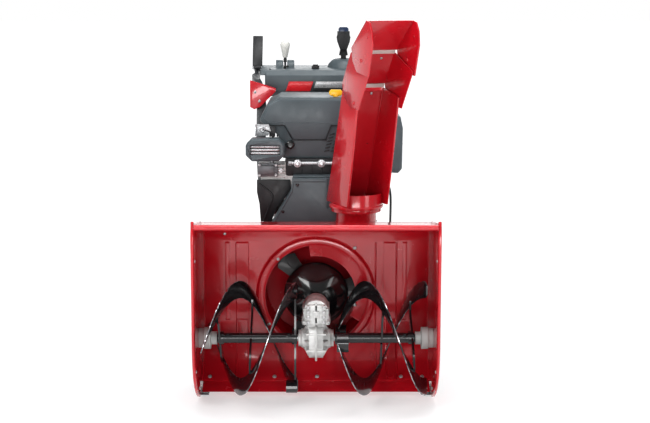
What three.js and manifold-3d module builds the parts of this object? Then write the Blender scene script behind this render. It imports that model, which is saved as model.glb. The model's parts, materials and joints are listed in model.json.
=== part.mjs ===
// A two-stage snowblower: auger housing, impeller drum, turning chute, engine, wheels and handles.
// Millimetres. +Z up, the machine faces -Y, +X is to the right of a viewer who stands in front of it.
// The origin is on the ground, at the middle of the machine's length and width.
import * as THREE from "three";
import { mergeVertices } from "three/addons/utils/BufferGeometryUtils.js";
import Module from "manifold-3d";

const wasm = await Module();
wasm.setup();

// ---- Driving dimensions ----
const LENGTH = 1480;
const GAP = 0.3; // between pieces that touch
const SHEET = 4; // sheet steel
const FRONT = -LENGTH / 2;

const AUGER_R = 176;
const AUGER_Y = FRONT + AUGER_R;
const AUGER_Z = 207;
const HOUSING_HALF = 361; // inside face of each side plate
const HOUSING_TOP = 583;
const HOUSING_FRONT = AUGER_Y - 128;
const SWEEP_R = 190; // the curved floor of the housing, about the auger's axis
const BACK_Y = AUGER_Y + SWEEP_R;
const BAFFLE_R = 128; // inner edge of the plate that half closes the impeller's mouth

const IMPELLER_Z = 298;
const DRUM_R = 168;
const DRUM_DEPTH = 150;
const DRUM_BACK = BACK_Y + DRUM_DEPTH;

const NECK_X = 130;
const NECK_Y = BACK_Y + DRUM_DEPTH / 2;
const NECK_R = 66;
const RING_Z = 574; // top of the fixed collar
const CHUTE_TURN = THREE.MathUtils.degToRad(25);
const CHUTE_Z = 588; // underside of the chute itself

const WHEEL_R = 203;
const WHEEL_X = 236;
const AXLE_Y = -80;
const AXLE_R = 12.5;

const CRANK_Z = 585;
const FRAME_HALF = 134;
const DECK_Z = 436; // top of the frame, where the engine sits
const PULLEY_Y = DRUM_BACK + 30;

const HANDLE_X = 228;
const CONSOLE_Z = 985;
const LEVER_X = -116;
const JOYSTICK_X = 103;
const CONTROL_Y = 440; // where the levers pass through the console

// ---- Colours ----
const RED = 0xb01020;
const CHARCOAL = 0x3b4145;
const BLACK = 0x14171a;
const ALUMINIUM = 0xc4c6c8;
const STEEL = 0x8c9094;
const PALE = 0xcfd1d0;
const YELLOW = 0xf2bd2a;
const NAVY = 0x1c2c40;

const model = new THREE.Group();

// ---- Solids ----
function toSolid(geometry) {
  const bare = geometry.clone();
  bare.deleteAttribute("normal");
  bare.deleteAttribute("uv");
  const merged = mergeVertices(bare, 1e-4);
  const triVerts = new Uint32Array(merged.index.array);
  const mesh = () =>
    new wasm.Mesh({ numProp: 3, vertProperties: merged.attributes.position.array, triVerts });
  const made = new wasm.Manifold(mesh());
  if (made.volume() > 0) return made;
  for (let i = 0; i < triVerts.length; i += 3) {
    [triVerts[i + 1], triVerts[i + 2]] = [triVerts[i + 2], triVerts[i + 1]];
  }
  return new wasm.Manifold(mesh());
}

function toGeometry(solid) {
  const { numProp, vertProperties, triVerts } = solid.getMesh();
  const positions = new Float32Array((vertProperties.length / numProp) * 3);
  for (let i = 0; i < positions.length / 3; i++) {
    positions.set(vertProperties.subarray(i * numProp, i * numProp + 3), i * 3);
  }
  const geometry = new THREE.BufferGeometry();
  geometry.setAttribute("position", new THREE.BufferAttribute(positions, 3));
  geometry.setIndex(new THREE.BufferAttribute(triVerts, 1));
  return geometry;
}

const join = (first, ...others) => others.reduce((all, one) => all.add(one), first);
const cut = (first, ...others) => others.reduce((all, one) => all.subtract(one), first);

function box(x0, x1, y0, y1, z0, z1) {
  const geometry = new THREE.BoxGeometry(x1 - x0, y1 - y0, z1 - z0);
  geometry.translate((x0 + x1) / 2, (y0 + y1) / 2, (z0 + z1) / 2);
  return toSolid(geometry);
}

function rod(from, to, radius, sides = 18) {
  const a = new THREE.Vector3(...from);
  const b = new THREE.Vector3(...to);
  const along = b.clone().sub(a);
  const geometry = new THREE.CylinderGeometry(radius, radius, along.length(), sides);
  geometry.applyQuaternion(
    new THREE.Quaternion().setFromUnitVectors(new THREE.Vector3(0, 1, 0), along.normalize()),
  );
  const middle = a.add(b).multiplyScalar(0.5);
  geometry.translate(middle.x, middle.y, middle.z);
  return toSolid(geometry);
}

// An outline extruded along X, Y or Z. Its points are (y, z), (x, z) or (x, y).
function prism(axis, points, from, to, bevel = 0) {
  const shape = new THREE.Shape(points.map(([a, b]) => new THREE.Vector2(a, b)));
  const geometry = new THREE.ExtrudeGeometry(shape, {
    depth: to - from - 2 * bevel,
    bevelEnabled: bevel > 0,
    bevelSize: bevel,
    bevelThickness: bevel,
    bevelOffset: -bevel,
    bevelSegments: 2,
  });
  geometry.translate(0, 0, bevel);
  const turn = new THREE.Matrix4();
  if (axis === "x") turn.set(0, 0, 1, from, 1, 0, 0, 0, 0, 1, 0, 0, 0, 0, 0, 1);
  if (axis === "y") turn.set(1, 0, 0, 0, 0, 0, -1, to, 0, 1, 0, 0, 0, 0, 0, 1);
  if (axis === "z") turn.set(1, 0, 0, 0, 0, 1, 0, 0, 0, 0, 1, from, 0, 0, 0, 1);
  return toSolid(geometry.applyMatrix4(turn));
}

// A profile of (radius, height) points turned about an axis through the given centre.
function turned(axis, centre, profile, segments = 24) {
  const geometry = new THREE.LatheGeometry(
    profile.map(([r, h]) => new THREE.Vector2(r, h)),
    segments,
  );
  if (axis === "x") geometry.rotateZ(-Math.PI / 2);
  if (axis === "z") geometry.rotateX(Math.PI / 2);
  geometry.translate(...centre);
  return toSolid(geometry);
}

function pipe(points, radius, steps = 24, sides = 10) {
  const curve = new THREE.CatmullRomCurve3(
    points.map((p) => new THREE.Vector3(...p)),
    false,
    "centripetal",
  );
  const section = new THREE.Shape().absarc(0, 0, radius, 0, 2 * Math.PI);
  return toSolid(
    new THREE.ExtrudeGeometry(section, {
      steps,
      curveSegments: sides / 2,
      extrudePath: curve,
      bevelEnabled: false,
    }),
  );
}

// A straight bar of the given number of steps, bent by a function of its three coordinates,
// the first from 0 to 1 and the others from -0.5 to 0.5.
function bentBar(steps, place) {
  const geometry = new THREE.BoxGeometry(1, 1, 1, steps, 1, 1);
  const position = geometry.attributes.position;
  for (let i = 0; i < position.count; i++) {
    position.setXYZ(i, ...place(position.getX(i) + 0.5, position.getY(i), position.getZ(i)));
  }
  return toSolid(geometry);
}

function arc(cx, cy, radius, fromDeg, toDeg, steps) {
  return Array.from({ length: steps + 1 }, (_, i) => {
    const angle = THREE.MathUtils.degToRad(fromDeg + ((toDeg - fromDeg) * i) / steps);
    return [cx + radius * Math.cos(angle), cy + radius * Math.sin(angle)];
  });
}

const circle = (cx, cy, radius, steps = 32) => arc(cx, cy, radius, 0, 360, steps).slice(0, -1);

// A sheet of the given thickness on the left of a path, as a closed outline.
function sheetOutline(path, thickness) {
  const side = path.map((point, i) => {
    const before = path[Math.max(i - 1, 0)];
    const after = path[Math.min(i + 1, path.length - 1)];
    const dx = after[0] - before[0];
    const dy = after[1] - before[1];
    const scale = thickness / Math.hypot(dx, dy);
    return [point[0] - dy * scale, point[1] + dx * scale];
  });
  return [...path, ...side.reverse()];
}

function chamferedRectangle(x0, x1, z0, z1, corner) {
  return [
    [x0 + corner, z0],
    [x1 - corner, z0],
    [x1, z0 + corner],
    [x1, z1 - corner],
    [x1 - corner, z1],
    [x0 + corner, z1],
    [x0, z1 - corner],
    [x0, z0 + corner],
  ];
}

function add(name, solid, colour, roughness, metalness, group = model) {
  const material = new THREE.MeshStandardMaterial({ color: colour, roughness, metalness });
  const mesh = new THREE.Mesh(toGeometry(solid), material);
  mesh.name = name;
  group.add(mesh);
  return mesh;
}

const paint = (name, solid, colour = RED, group = model) =>
  add(name, solid, colour, 0.3, 0.2, group);
const plastic = (name, solid, colour = CHARCOAL, group = model) =>
  add(name, solid, colour, 0.6, 0, group);
const metal = (name, solid, colour = STEEL, group = model) => add(name, solid, colour, 0.4, 0.9, group);
const rubber = (name, solid, colour = BLACK, group = model) => add(name, solid, colour, 0.85, 0, group);

// Each of a mirrored pair is called with its name's ending and its side, -1 or +1.
const bothSides = (make) => [["left", -1], ["right", 1]].forEach(([end, side]) => make(end, side));

// An x range on one side of the machine, given as distances from its middle.
const range = (side, near, far) => (side > 0 ? [near, far] : [-far, -near]);

// ---- Auger housing ----
function augerHousing() {
  const top = [
    [HOUSING_FRONT, HOUSING_TOP - SHEET],
    [BACK_Y - 90, HOUSING_TOP - 38],
  ];
  const corner = arc(BACK_Y - 60, HOUSING_TOP - 100, 60, 80, 0, 5);
  const floorEnd = -90 + 30;
  const floor = arc(AUGER_Y, AUGER_Z, SWEEP_R, 0, floorEnd, 10);
  const shell = prism(
    "x",
    sheetOutline([...top, ...corner, ...floor], SHEET),
    -HOUSING_HALF + GAP,
    HOUSING_HALF - GAP,
  );
  const lip = rod(
    [-HOUSING_HALF + GAP, HOUSING_FRONT, HOUSING_TOP - 8],
    [HOUSING_HALF - GAP, HOUSING_FRONT, HOUSING_TOP - 8],
    8,
    12,
  );
  const mouthRing = turned("y", [0, BACK_Y, IMPELLER_Z], [
    [DRUM_R - SHEET, 2],
    [DRUM_R - SHEET, -7],
    [DRUM_R + 14, -8],
    [DRUM_R + 26, 0],
    [DRUM_R + 26, 2],
    [DRUM_R - SHEET, 2],
  ], 36);
  const mouth = rod([0, BACK_Y - 5, IMPELLER_Z], [0, BACK_Y + 20, IMPELLER_Z], DRUM_R - SHEET, 36);
  const ribs = [-1, 1].flatMap((side) => [[236, 19], [284, 7]].map(([x, half]) =>
    prism("x", [[BACK_Y + 1, 215], [BACK_Y - 5, 221], [BACK_Y - 5, 468], [BACK_Y + 1, 474]],
      side * x - half, side * x + half),
  ));
  const baffle = prism("y", [
    ...arc(0, IMPELLER_Z, BAFFLE_R, -32, 98, 16), ...arc(0, IMPELLER_Z, DRUM_R, 98, -32, 16),
  ], BACK_Y, BACK_Y + SHEET);
  return join(cut(join(shell, lip, mouthRing, ...ribs), mouth), baffle);
}

function sidePlate(side) {
  const [x0, x1] = range(side, HOUSING_HALF, HOUSING_HALF + SHEET);
  const frontEdge = [
    [HOUSING_FRONT + 8, HOUSING_TOP + 3],
    [HOUSING_FRONT, HOUSING_TOP - 8],
    [HOUSING_FRONT - 4, 350],
    [HOUSING_FRONT + 4, 140],
    [HOUSING_FRONT + 60, 60],
    [AUGER_Y + 20, 12],
    [AUGER_Y + 47, 9],
  ];
  const outline = [
    ...frontEdge,
    [BACK_Y + 10, 9],
    [BACK_Y + 10, HOUSING_TOP - 92],
    [BACK_Y - 70, HOUSING_TOP - 30],
  ];
  const hemX = side * (HOUSING_HALF + SHEET + 1);
  const hem = pipe(frontEdge.map(([y, z]) => [hemX, y, z + 4]), 5, 14, 6);
  return join(prism("x", outline, x0, x1), hem);
}

function scraperBar() {
  const end = new THREE.Vector2(
    AUGER_Y + SWEEP_R * Math.cos(-Math.PI / 3),
    AUGER_Z + SWEEP_R * Math.sin(-Math.PI / 3),
  );
  const along = new THREE.Vector2(-Math.sin(Math.PI / 3), -Math.cos(Math.PI / 3));
  const out = new THREE.Vector2(Math.cos(Math.PI / 3), -Math.sin(Math.PI / 3));
  const corner = (forward, depth) => {
    const point = end.clone().addScaledVector(along, forward).addScaledVector(out, depth);
    return [point.x, point.y];
  };
  const inside = SHEET + 0.5;
  return prism(
    "x",
    [corner(-26, inside), corner(44, inside), corner(40, inside + 6), corner(-26, inside + 6)],
    -HOUSING_HALF + 2,
    HOUSING_HALF - 2,
  );
}

function skidShoe(side) {
  const outer = HOUSING_HALF + SHEET;
  const [x0, x1] = range(side, outer + GAP, outer + 6);
  const [r0, r1] = range(side, outer - 26, outer + 6);
  const plate = prism("x", [
    [BACK_Y - 110, 2], [BACK_Y + 30, 2], [BACK_Y + 30, 70], [BACK_Y + 10, 84],
    [BACK_Y - 90, 84], [BACK_Y - 110, 70],
  ], x0, x1);
  const runner = prism("x", [
    [BACK_Y - 112, 0], [BACK_Y + 32, 0], [BACK_Y + 46, 5], [BACK_Y + 44, 8.5],
    [BACK_Y + 30, 6], [BACK_Y - 110, 6], [BACK_Y - 124, 8.5], [BACK_Y - 126, 5],
  ], r0, r1);
  return join(plate, runner);
}

function augerBearing(side) {
  const reach = HOUSING_HALF - GAP;
  const profile = [
    [10.3, 305], [20, 305], [20, 322], [34, 324], [34, 344], [30, 347], [30, reach], [10.3, reach],
    [10.3, 305],
  ].map(([r, h]) => [r, side * h]);
  return turned("x", [0, AUGER_Y, AUGER_Z], profile, 20);
}

paint("auger_housing", augerHousing());
bothSides((end, side) => {
  paint(`side_plate_${end}`, sidePlate(side));
  metal(`bearing_${end}`, augerBearing(side));
  paint(`skid_shoe_${end}`, skidShoe(side), BLACK);
});
paint("scraper_bar", scraperBar());

// ---- Augers, turned by the worm wheel in the gearbox ----
const PITCH = 368; // of each auger ribbon, per turn
const RIBBON_IN = 122;
const TUBE_R = 16;
const RIBBON_STEPS = 22;

// The angle of the first ribbon at x: 0 is the front, 90 is the top.
const ribbonAngle = (side, x) =>
  Math.PI / 2 + (side < 0 ? 1 : -1) * ((x - (side < 0 ? -248 : 165)) / PITCH) * 2 * Math.PI;

function ribbon(side, from, to, phase) {
  return bentBar(RIBBON_STEPS, (u, across, through) => {
    const x = from + (to - from) * u;
    const angle = ribbonAngle(side, x) + phase;
    const radius = (AUGER_R + RIBBON_IN) / 2 + across * (AUGER_R - RIBBON_IN);
    return [x + through * 5, AUGER_Y - radius * Math.cos(angle), AUGER_Z + radius * Math.sin(angle)];
  });
}

function arm(side, x, phase) {
  const angle = ribbonAngle(side, x) + phase;
  const tip = RIBBON_IN + 8;
  const to = [x, AUGER_Y - tip * Math.cos(angle), AUGER_Z + tip * Math.sin(angle)];
  return rod([x, AUGER_Y, AUGER_Z], to, 8, 6);
}

function auger(side) {
  const near = side < 0 ? -58 : 62;
  const far = side * 342;
  const solids = [0, Math.PI].flatMap((phase) => [
    ribbon(side, near, far, phase),
    ...[near + side * 6, (near + far) / 2, side * 296].map((x) => arm(side, x, phase)),
  ]);
  const tube = rod([side * 60, AUGER_Y, AUGER_Z], [side * 302, AUGER_Y, AUGER_Z], TUBE_R, 16);
  const bore = rod([side * 50, AUGER_Y, AUGER_Z], [side * 312, AUGER_Y, AUGER_Z], 10.3, 14);
  return cut(join(tube, ...solids), bore);
}

const WHEEL_TEETH = 16;
function wormWheel() {
  const profile = [[10.3, -12], [50, -12], [50, 12], [10.3, 12], [10.3, -12]];
  const disc = turned("x", [0, AUGER_Y, AUGER_Z], profile, 16);
  const teeth = Array.from({ length: WHEEL_TEETH }, (_, i) => {
    const angle = (i / WHEEL_TEETH) * 2 * Math.PI;
    const at = (r) => [AUGER_Y + r * Math.cos(angle), AUGER_Z + r * Math.sin(angle)];
    return rod([-12, ...at(51)], [12, ...at(51)], 4, 6);
  });
  return join(disc, ...teeth);
}

metal("auger_shaft", rod([-352, AUGER_Y, AUGER_Z], [352, AUGER_Y, AUGER_Z], 10));
bothSides((end, side) => paint(`auger_${end}`, auger(side), BLACK));
metal("worm_wheel", wormWheel(), 0xa88a4a);

// ---- Gearbox between the augers ----
function gearboxCase() {
  const wheelCase = rod([-22, AUGER_Y, AUGER_Z], [22, AUGER_Y, AUGER_Z], 61, 24);
  const rim = rod([-3, AUGER_Y, AUGER_Z], [3, AUGER_Y, AUGER_Z], 66, 24);
  const hubs = rod([-54, AUGER_Y, AUGER_Z], [54, AUGER_Y, AUGER_Z], 26, 16);
  const shoulders = rod([-38, AUGER_Y, AUGER_Z], [38, AUGER_Y, AUGER_Z], 34, 16);
  const wormCase = rod([0, AUGER_Y - 48, IMPELLER_Z], [0, AUGER_Y + 52, IMPELLER_Z], 39, 20);
  const flange = prism("z", chamferedRectangle(-42, 42, AUGER_Y - 50, AUGER_Y + 50, 8),
    IMPELLER_Z - 34, IMPELLER_Z - 20);
  const neck = box(-26, 26, AUGER_Y - 40, AUGER_Y + 40, AUGER_Z + 30, IMPELLER_Z - 20);
  const cap = rod([0, AUGER_Y - 56, IMPELLER_Z], [0, AUGER_Y - 40, IMPELLER_Z], 24, 16);
  const nose = rod([0, AUGER_Y + 40, IMPELLER_Z], [0, AUGER_Y + 68, IMPELLER_Z], 22, 16);
  const wheelRoom = rod([-15, AUGER_Y, AUGER_Z], [15, AUGER_Y, AUGER_Z], 57, 20);
  const wormRoom = rod([0, AUGER_Y - 42, IMPELLER_Z], [0, AUGER_Y + 42, IMPELLER_Z], 35.5, 16);
  const shaftBore = rod([-60, AUGER_Y, AUGER_Z], [60, AUGER_Y, AUGER_Z], 10.3, 14);
  const driveBore = rod([0, AUGER_Y, IMPELLER_Z], [0, AUGER_Y + 80, IMPELLER_Z], 9.8, 14);
  return cut(
    join(wheelCase, rim, hubs, shoulders, wormCase, flange, neck, cap, nose),
    wheelRoom, wormRoom, shaftBore, driveBore,
  );
}

metal("gearbox_case", gearboxCase(), ALUMINIUM);

// ---- Impeller, its drum and its shaft ----
function drumOutline(inset) {
  const r = DRUM_R - inset;
  const left = NECK_X - NECK_R - 2 + inset;
  const right = NECK_X + NECK_R - inset;
  const spout = [
    [left, IMPELLER_Z], [r, IMPELLER_Z - 4], [right, IMPELLER_Z + 50], [right, 432 - inset],
    [left, 432 - inset],
  ];
  return [circle(0, IMPELLER_Z, r, 36), spout];
}

function impellerDrum() {
  const solid = (inset, from, to) =>
    join(...drumOutline(inset).map((outline) => prism("y", outline, from, to)));
  const neck = rod([NECK_X, NECK_Y, 400], [NECK_X, NECK_Y, RING_Z], NECK_R, 24);
  const collar = rod([NECK_X, NECK_Y, RING_Z - 12], [NECK_X, NECK_Y, RING_Z], NECK_R + 16, 24);
  const fairing = prism("x", [
    [NECK_Y - 50, 428], [NECK_Y + 50, 428], [NECK_Y + 30, 520], [NECK_Y - 30, 520],
  ], NECK_X - NECK_R - 8, NECK_X);
  const throat = rod([NECK_X, NECK_Y, 380], [NECK_X, NECK_Y, RING_Z + 5], NECK_R - SHEET, 24);
  const shaftHole = rod([0, DRUM_BACK - 20, IMPELLER_Z], [0, DRUM_BACK + 5, IMPELLER_Z], 12, 16);
  return cut(
    join(solid(0, BACK_Y + SHEET + 0.6, DRUM_BACK), neck, collar, fairing),
    solid(SHEET, BACK_Y - 5, DRUM_BACK - SHEET),
    throat,
    shaftHole,
  );
}

const BLADES = 3;
const BLADE_TIP = 154;
function impeller() {
  const dome = turned("y", [0, 0, IMPELLER_Z], [
    [9.8, BACK_Y - 30], [26, BACK_Y - 30], [104, BACK_Y + 8], [110, BACK_Y + 14],
    [110, BACK_Y + 19], [102, BACK_Y + 14], [24, BACK_Y - 24], [24, DRUM_BACK - 20],
    [9.8, DRUM_BACK - 20], [9.8, BACK_Y - 30],
  ], 28);
  const blades = Array.from({ length: BLADES }, (_, i) => {
    const radial = prism("z", [
      [18, 0], [60, -4], [BLADE_TIP - 16, -4], [BLADE_TIP - 4, -24], [BLADE_TIP, -24],
      [BLADE_TIP - 8, 2], [60, 2], [18, 6],
    ], 0, 118);
    const turnTo = (i / BLADES) * 360 + 15;
    return radial
      .rotate([90, 0, 0])
      .rotate([0, -turnTo, 0])
      .translate([0, DRUM_BACK - 14, IMPELLER_Z]);
  });
  return join(dome, ...blades);
}

function impellerShaft() {
  const start = AUGER_Y - 38;
  const shaft = rod([0, start, IMPELLER_Z], [0, PULLEY_Y + 24, IMPELLER_Z], 9.5);
  const wormCore = rod([0, AUGER_Y - 34, IMPELLER_Z], [0, AUGER_Y + 34, IMPELLER_Z], 27, 16);
  const threads = Array.from({ length: 4 }, (_, i) => {
    const y = AUGER_Y - 24 + i * 16;
    return rod([0, y - 3, IMPELLER_Z], [0, y + 3, IMPELLER_Z], 34.4, 16);
  });
  return join(shaft, wormCore, ...threads);
}

// A pulley with a V groove, about the Y axis.
function pulley(y, z, radius, bore) {
  return turned("y", [0, y, z], [
    [bore, -12], [radius, -12], [radius, -9], [radius - 9, -3.5], [radius - 9, 3.5],
    [radius, 9], [radius, 12], [bore, 12], [bore, -12],
  ], 24);
}

const BIG_PULLEY_R = 100;
const SMALL_PULLEY_R = 40;

function augerBelt() {
  const drop = CRANK_Z - IMPELLER_Z;
  const loop = (spare) => {
    const big = BIG_PULLEY_R - 8.4 + spare;
    const small = SMALL_PULLEY_R - 8.4 + spare;
    const lean = THREE.MathUtils.radToDeg(Math.asin((big - small) / drop));
    return [
      ...arc(0, IMPELLER_Z, big, 180 - lean, 360 + lean, 16),
      ...arc(0, CRANK_Z, small, lean, 180 - lean, 8),
    ];
  };
  return cut(
    prism("y", loop(9), PULLEY_Y - 3, PULLEY_Y + 3),
    prism("y", loop(0), PULLEY_Y - 8, PULLEY_Y + 8),
  );
}

paint("impeller_drum", impellerDrum());
paint("impeller", impeller(), BLACK);
metal("impeller_shaft", impellerShaft());
metal("impeller_pulley", pulley(PULLEY_Y, IMPELLER_Z, BIG_PULLEY_R, 9.8));
rubber("auger_belt", augerBelt());

// ---- Frame, transmission, axle and wheels ----
function frame() {
  const front = DRUM_BACK + GAP;
  const rear = 140;
  const outer = box(-FRAME_HALF, FRAME_HALF, front, rear, 150, DECK_Z);
  const inner = box(-FRAME_HALF + SHEET, FRAME_HALF - SHEET, front + SHEET, rear + 5, 140,
    DECK_Z - SHEET);
  const beltSlot = box(-FRAME_HALF + 20, FRAME_HALF - 20, front + SHEET, -164, DECK_Z - 10, DECK_Z + 5);
  const axleHole = rod([-200, AXLE_Y, WHEEL_R], [200, AXLE_Y, WHEEL_R], AXLE_R + GAP, 16);
  const shaftHole = rod([0, front - 5, IMPELLER_Z], [0, front + 20, IMPELLER_Z], 14, 20);
  return cut(outer, inner, beltSlot, axleHole, shaftHole);
}

function transmission() {
  const body = prism("x", chamferedRectangle(AXLE_Y - 50, AXLE_Y + 170, 160, 330, 22), -92, 92);
  const hole = rod([-200, AXLE_Y, WHEEL_R], [200, AXLE_Y, WHEEL_R], AXLE_R + GAP, 16);
  return cut(body, hole);
}

const TYRE_HALF = 60;
const RIM_R = 104;
const WHEEL_SIDES = 32;
function tyre(side) {
  const profile = [
    [RIM_R, -46], [150, -TYRE_HALF], [182, -56], [196, -42], [WHEEL_R, -18],
    [WHEEL_R, 18], [196, 42], [182, 56], [150, TYRE_HALF], [RIM_R, 46], [RIM_R, -46],
  ];
  return turned("x", [side * WHEEL_X, AXLE_Y, WHEEL_R], profile, WHEEL_SIDES);
}

function rim(side) {
  const profile = [
    [AXLE_R + GAP, -42], [24, -42], [24, -6], [86, -2], [92, -42], [RIM_R - GAP, -46],
    [RIM_R - GAP, 46], [94, 44], [90, 8], [30, 4], [26, 44], [AXLE_R + GAP, 44],
    [AXLE_R + GAP, -42],
  ].map(([r, h]) => [r, side * h]);
  return turned("x", [side * WHEEL_X, AXLE_Y, WHEEL_R], profile, WHEEL_SIDES);
}

paint("chassis_frame", frame(), BLACK);
metal("transmission_case", transmission(), 0x4a4d50);
const AXLE_END = WHEEL_X + 50;
metal("axle", rod([-AXLE_END, AXLE_Y, WHEEL_R], [AXLE_END, AXLE_Y, WHEEL_R], AXLE_R));
bothSides((end, side) => {
  rubber(`tyre_${end}`, tyre(side));
  paint(`rim_${end}`, rim(side), RED);
});

// ---- Engine ----
const ENGINE_FRONT = -148;
const COVER_FRONT = -136;
const COVER_REAR = 126;
const PANEL_Z = 780; // height of the controls on the engine's rear face
const PRIMER_X = 120;
const PRIMER_R = 15;

function crankshaft() {
  const shaft = rod([0, PULLEY_Y - 18, CRANK_Z], [0, COVER_REAR - 10, CRANK_Z], 12);
  const flywheel = rod([0, 84, CRANK_Z], [0, 108, CRANK_Z], 76, 20);
  return join(shaft, flywheel, pulley(PULLEY_Y, CRANK_Z, SMALL_PULLEY_R, 11));
}

function engineBlock() {
  const crankcase = box(-105, 105, ENGINE_FRONT, 74, DECK_Z + GAP, 700);
  const boss = rod([0, ENGINE_FRONT - 8, CRANK_Z], [0, ENGINE_FRONT + 2, CRANK_Z], 30, 16);
  const fins = [0, 1, 2, 3].map((i) => {
    const z = 650 + i * 12;
    return box(-196, -100, ENGINE_FRONT, -40, z, z + 5);
  });
  const cylinder = box(-186, -100, ENGINE_FRONT + 8, -50, 640, 690);
  const bore = rod([0, ENGINE_FRONT - 20, CRANK_Z], [0, 90, CRANK_Z], 12.4, 16);
  return cut(join(crankcase, boss, cylinder, ...fins), bore);
}

function engineCover() {
  const outline = [
    [-110, 712], [178, 712], [188, 722], [188, 872], [150, 914], [-122, 916], [-160, 896],
    [-187, 846], [-187, 836], [-128, 790],
  ];
  const bulge = [
    [-148, 822], [-104, 822], [-77, 775], [31, 775], [50, 822], [186, 822], [186, 870],
    [150, 908], [-120, 910], [-156, 892], [-180, 845],
  ];
  const room = [
    [-104, 700], [182, 700], [182, 866], [148, 906], [-118, 908], [-154, 888], [-176, 844],
    [-120, 792],
  ];
  return cut(
    join(
      prism("y", outline, COVER_FRONT, COVER_REAR, 6),
      prism("y", bulge, COVER_FRONT - 6, COVER_FRONT + 10, 4),
    ),
    prism("y", room, COVER_FRONT + 6, COVER_REAR - 6),
    rod([PRIMER_X, COVER_REAR - 12, PANEL_Z], [PRIMER_X, COVER_REAR + 5, PANEL_Z], PRIMER_R + 0.6, 18),
  );
}

function mufflerGuard() {
  const shell = prism("y", chamferedRectangle(-232, -104, 711, 784, 20), -214, -140.3, 4);
  const room = prism("y", chamferedRectangle(-226, -110, 717, 778, 18), -208, -130);
  const slot = box(-217, -119, -220, -200, 733, 763);
  return cut(shell, room, slot);
}

function muffler() {
  const can = rod([-209, -174, 748], [-127, -174, 748], 25, 16);
  const exhaust = pipe([
    [-150, -165, 744], [-150, -124, 742], [-150, -108, 722], [-150, -108, 691.5],
  ], 9, 12, 10);
  return join(can, exhaust);
}

const CHUTE_SWEEP_R = 122; // the turning chute's corners stay inside this
function beltCover() {
  const wall = 5;
  const front = DRUM_BACK + 2;
  const outline = (inset) => [
    [-152 + inset, 446], [-150 + inset, 500], [-84 + inset, 612], [-78 + inset, 655 - inset],
    [78 - inset, 655 - inset], [84 - inset, 612], [150 - inset, 500], [152 - inset, 446],
  ];
  const sweep = (spare) =>
    rod([NECK_X, NECK_Y, RING_Z - 19 - spare], [NECK_X, NECK_Y, RING_Z + 120], CHUTE_SWEEP_R + spare,
      36);
  return cut(
    prism("y", outline(0), front, ENGINE_FRONT - GAP, 3),
    sweep(0),
    cut(prism("y", outline(wall), front + wall, ENGINE_FRONT + 10), sweep(wall)),
    box(-147, 147, front + wall, ENGINE_FRONT + 10, 430, 470),
    rod([0, ENGINE_FRONT - 12, CRANK_Z], [0, ENGINE_FRONT + 2, CRANK_Z], 31, 16),
  );
}

const TANK_X = 191;
function fuelTank() {
  const outline = [
    [TANK_X, 650], [284, 645], [297, 660], [299, 800], [290, 842], [200, 852], [TANK_X, 844],
  ];
  return prism("y", outline, -20, 190, 8);
}

function recoilCover() {
  return turned("y", [0, 0, CRANK_Z], [
    [0, 150], [60, 150], [96, 142], [102, 130], [102, 112], [96, 112], [96, 128], [58, 144],
    [0, 144],
  ], 24);
}

function starterHandle() {
  const grip = rod([-96, 162, 520], [-24, 162, 520], 11, 14);
  return join(grip, rod([-60, 147, 520], [-60, 164, 520], 8, 12));
}

metal("engine_block", engineBlock(), ALUMINIUM);
metal("crankshaft", crankshaft());
plastic("engine_cover", engineCover());
plastic("belt_cover", beltCover());
plastic("muffler_guard", mufflerGuard());
metal("muffler", muffler());
metal("electric_starter", rod([-135.6, -20, 500], [-135.6, -20, 628], 30, 16), BLACK);
plastic("fuel_tank", fuelTank());
plastic("fuel_cap", turned("z", [244, 110, 0], [
  [0, 852.5], [30, 852.5], [33, 858], [33, 874], [28, 880], [0, 880],
], 20), BLACK);
plastic("oil_cap", join(
  prism("y", chamferedRectangle(44, 88, 919, 940, 6), -112, -98, 3),
  rod([66, -105, 916.6], [66, -105, 926], 10, 16),
), YELLOW);
plastic("recoil_cover", recoilCover(), BLACK);
plastic("starter_handle", starterHandle(), BLACK);
metal("ignition_key", join(
  rod([0, COVER_REAR + GAP, PANEL_Z], [0, COVER_REAR + 10, PANEL_Z], 5, 12),
  box(-10, 10, COVER_REAR + 9, COVER_REAR + 26, PANEL_Z - 3, PANEL_Z + 3),
), RED);
rubber("primer_button", turned("y", [PRIMER_X, COVER_REAR, PANEL_Z], [
  [0, -10], [PRIMER_R, -10], [PRIMER_R, 5], [10, 11], [0, 12],
], 18), RED);
plastic("choke_knob", join(
  rod([60, COVER_REAR + GAP, PANEL_Z], [60, COVER_REAR + 12, PANEL_Z], 17, 18),
  box(56, 64, COVER_REAR + 10, COVER_REAR + 22, PANEL_Z - 16, PANEL_Z + 16),
), BLACK);

// ---- Handles and console ----
const GRIP_FROM = [630.5, 962]; // y, z where the straight part of a grip tube starts
const GRIP_TO = [722.9, 1080];
const GRIP_AXIS = new THREE.Vector2(GRIP_TO[0] - GRIP_FROM[0], GRIP_TO[1] - GRIP_FROM[1]);
const GRIP_LENGTH = GRIP_AXIS.length();
GRIP_AXIS.normalize();

// A point beside the grip tube: so far along it, and so far forward of it.
const gripPoint = (along, forward = 0) => [
  GRIP_FROM[0] + GRIP_AXIS.x * along - GRIP_AXIS.y * forward,
  GRIP_FROM[1] + GRIP_AXIS.y * along + GRIP_AXIS.x * forward,
];

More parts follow.
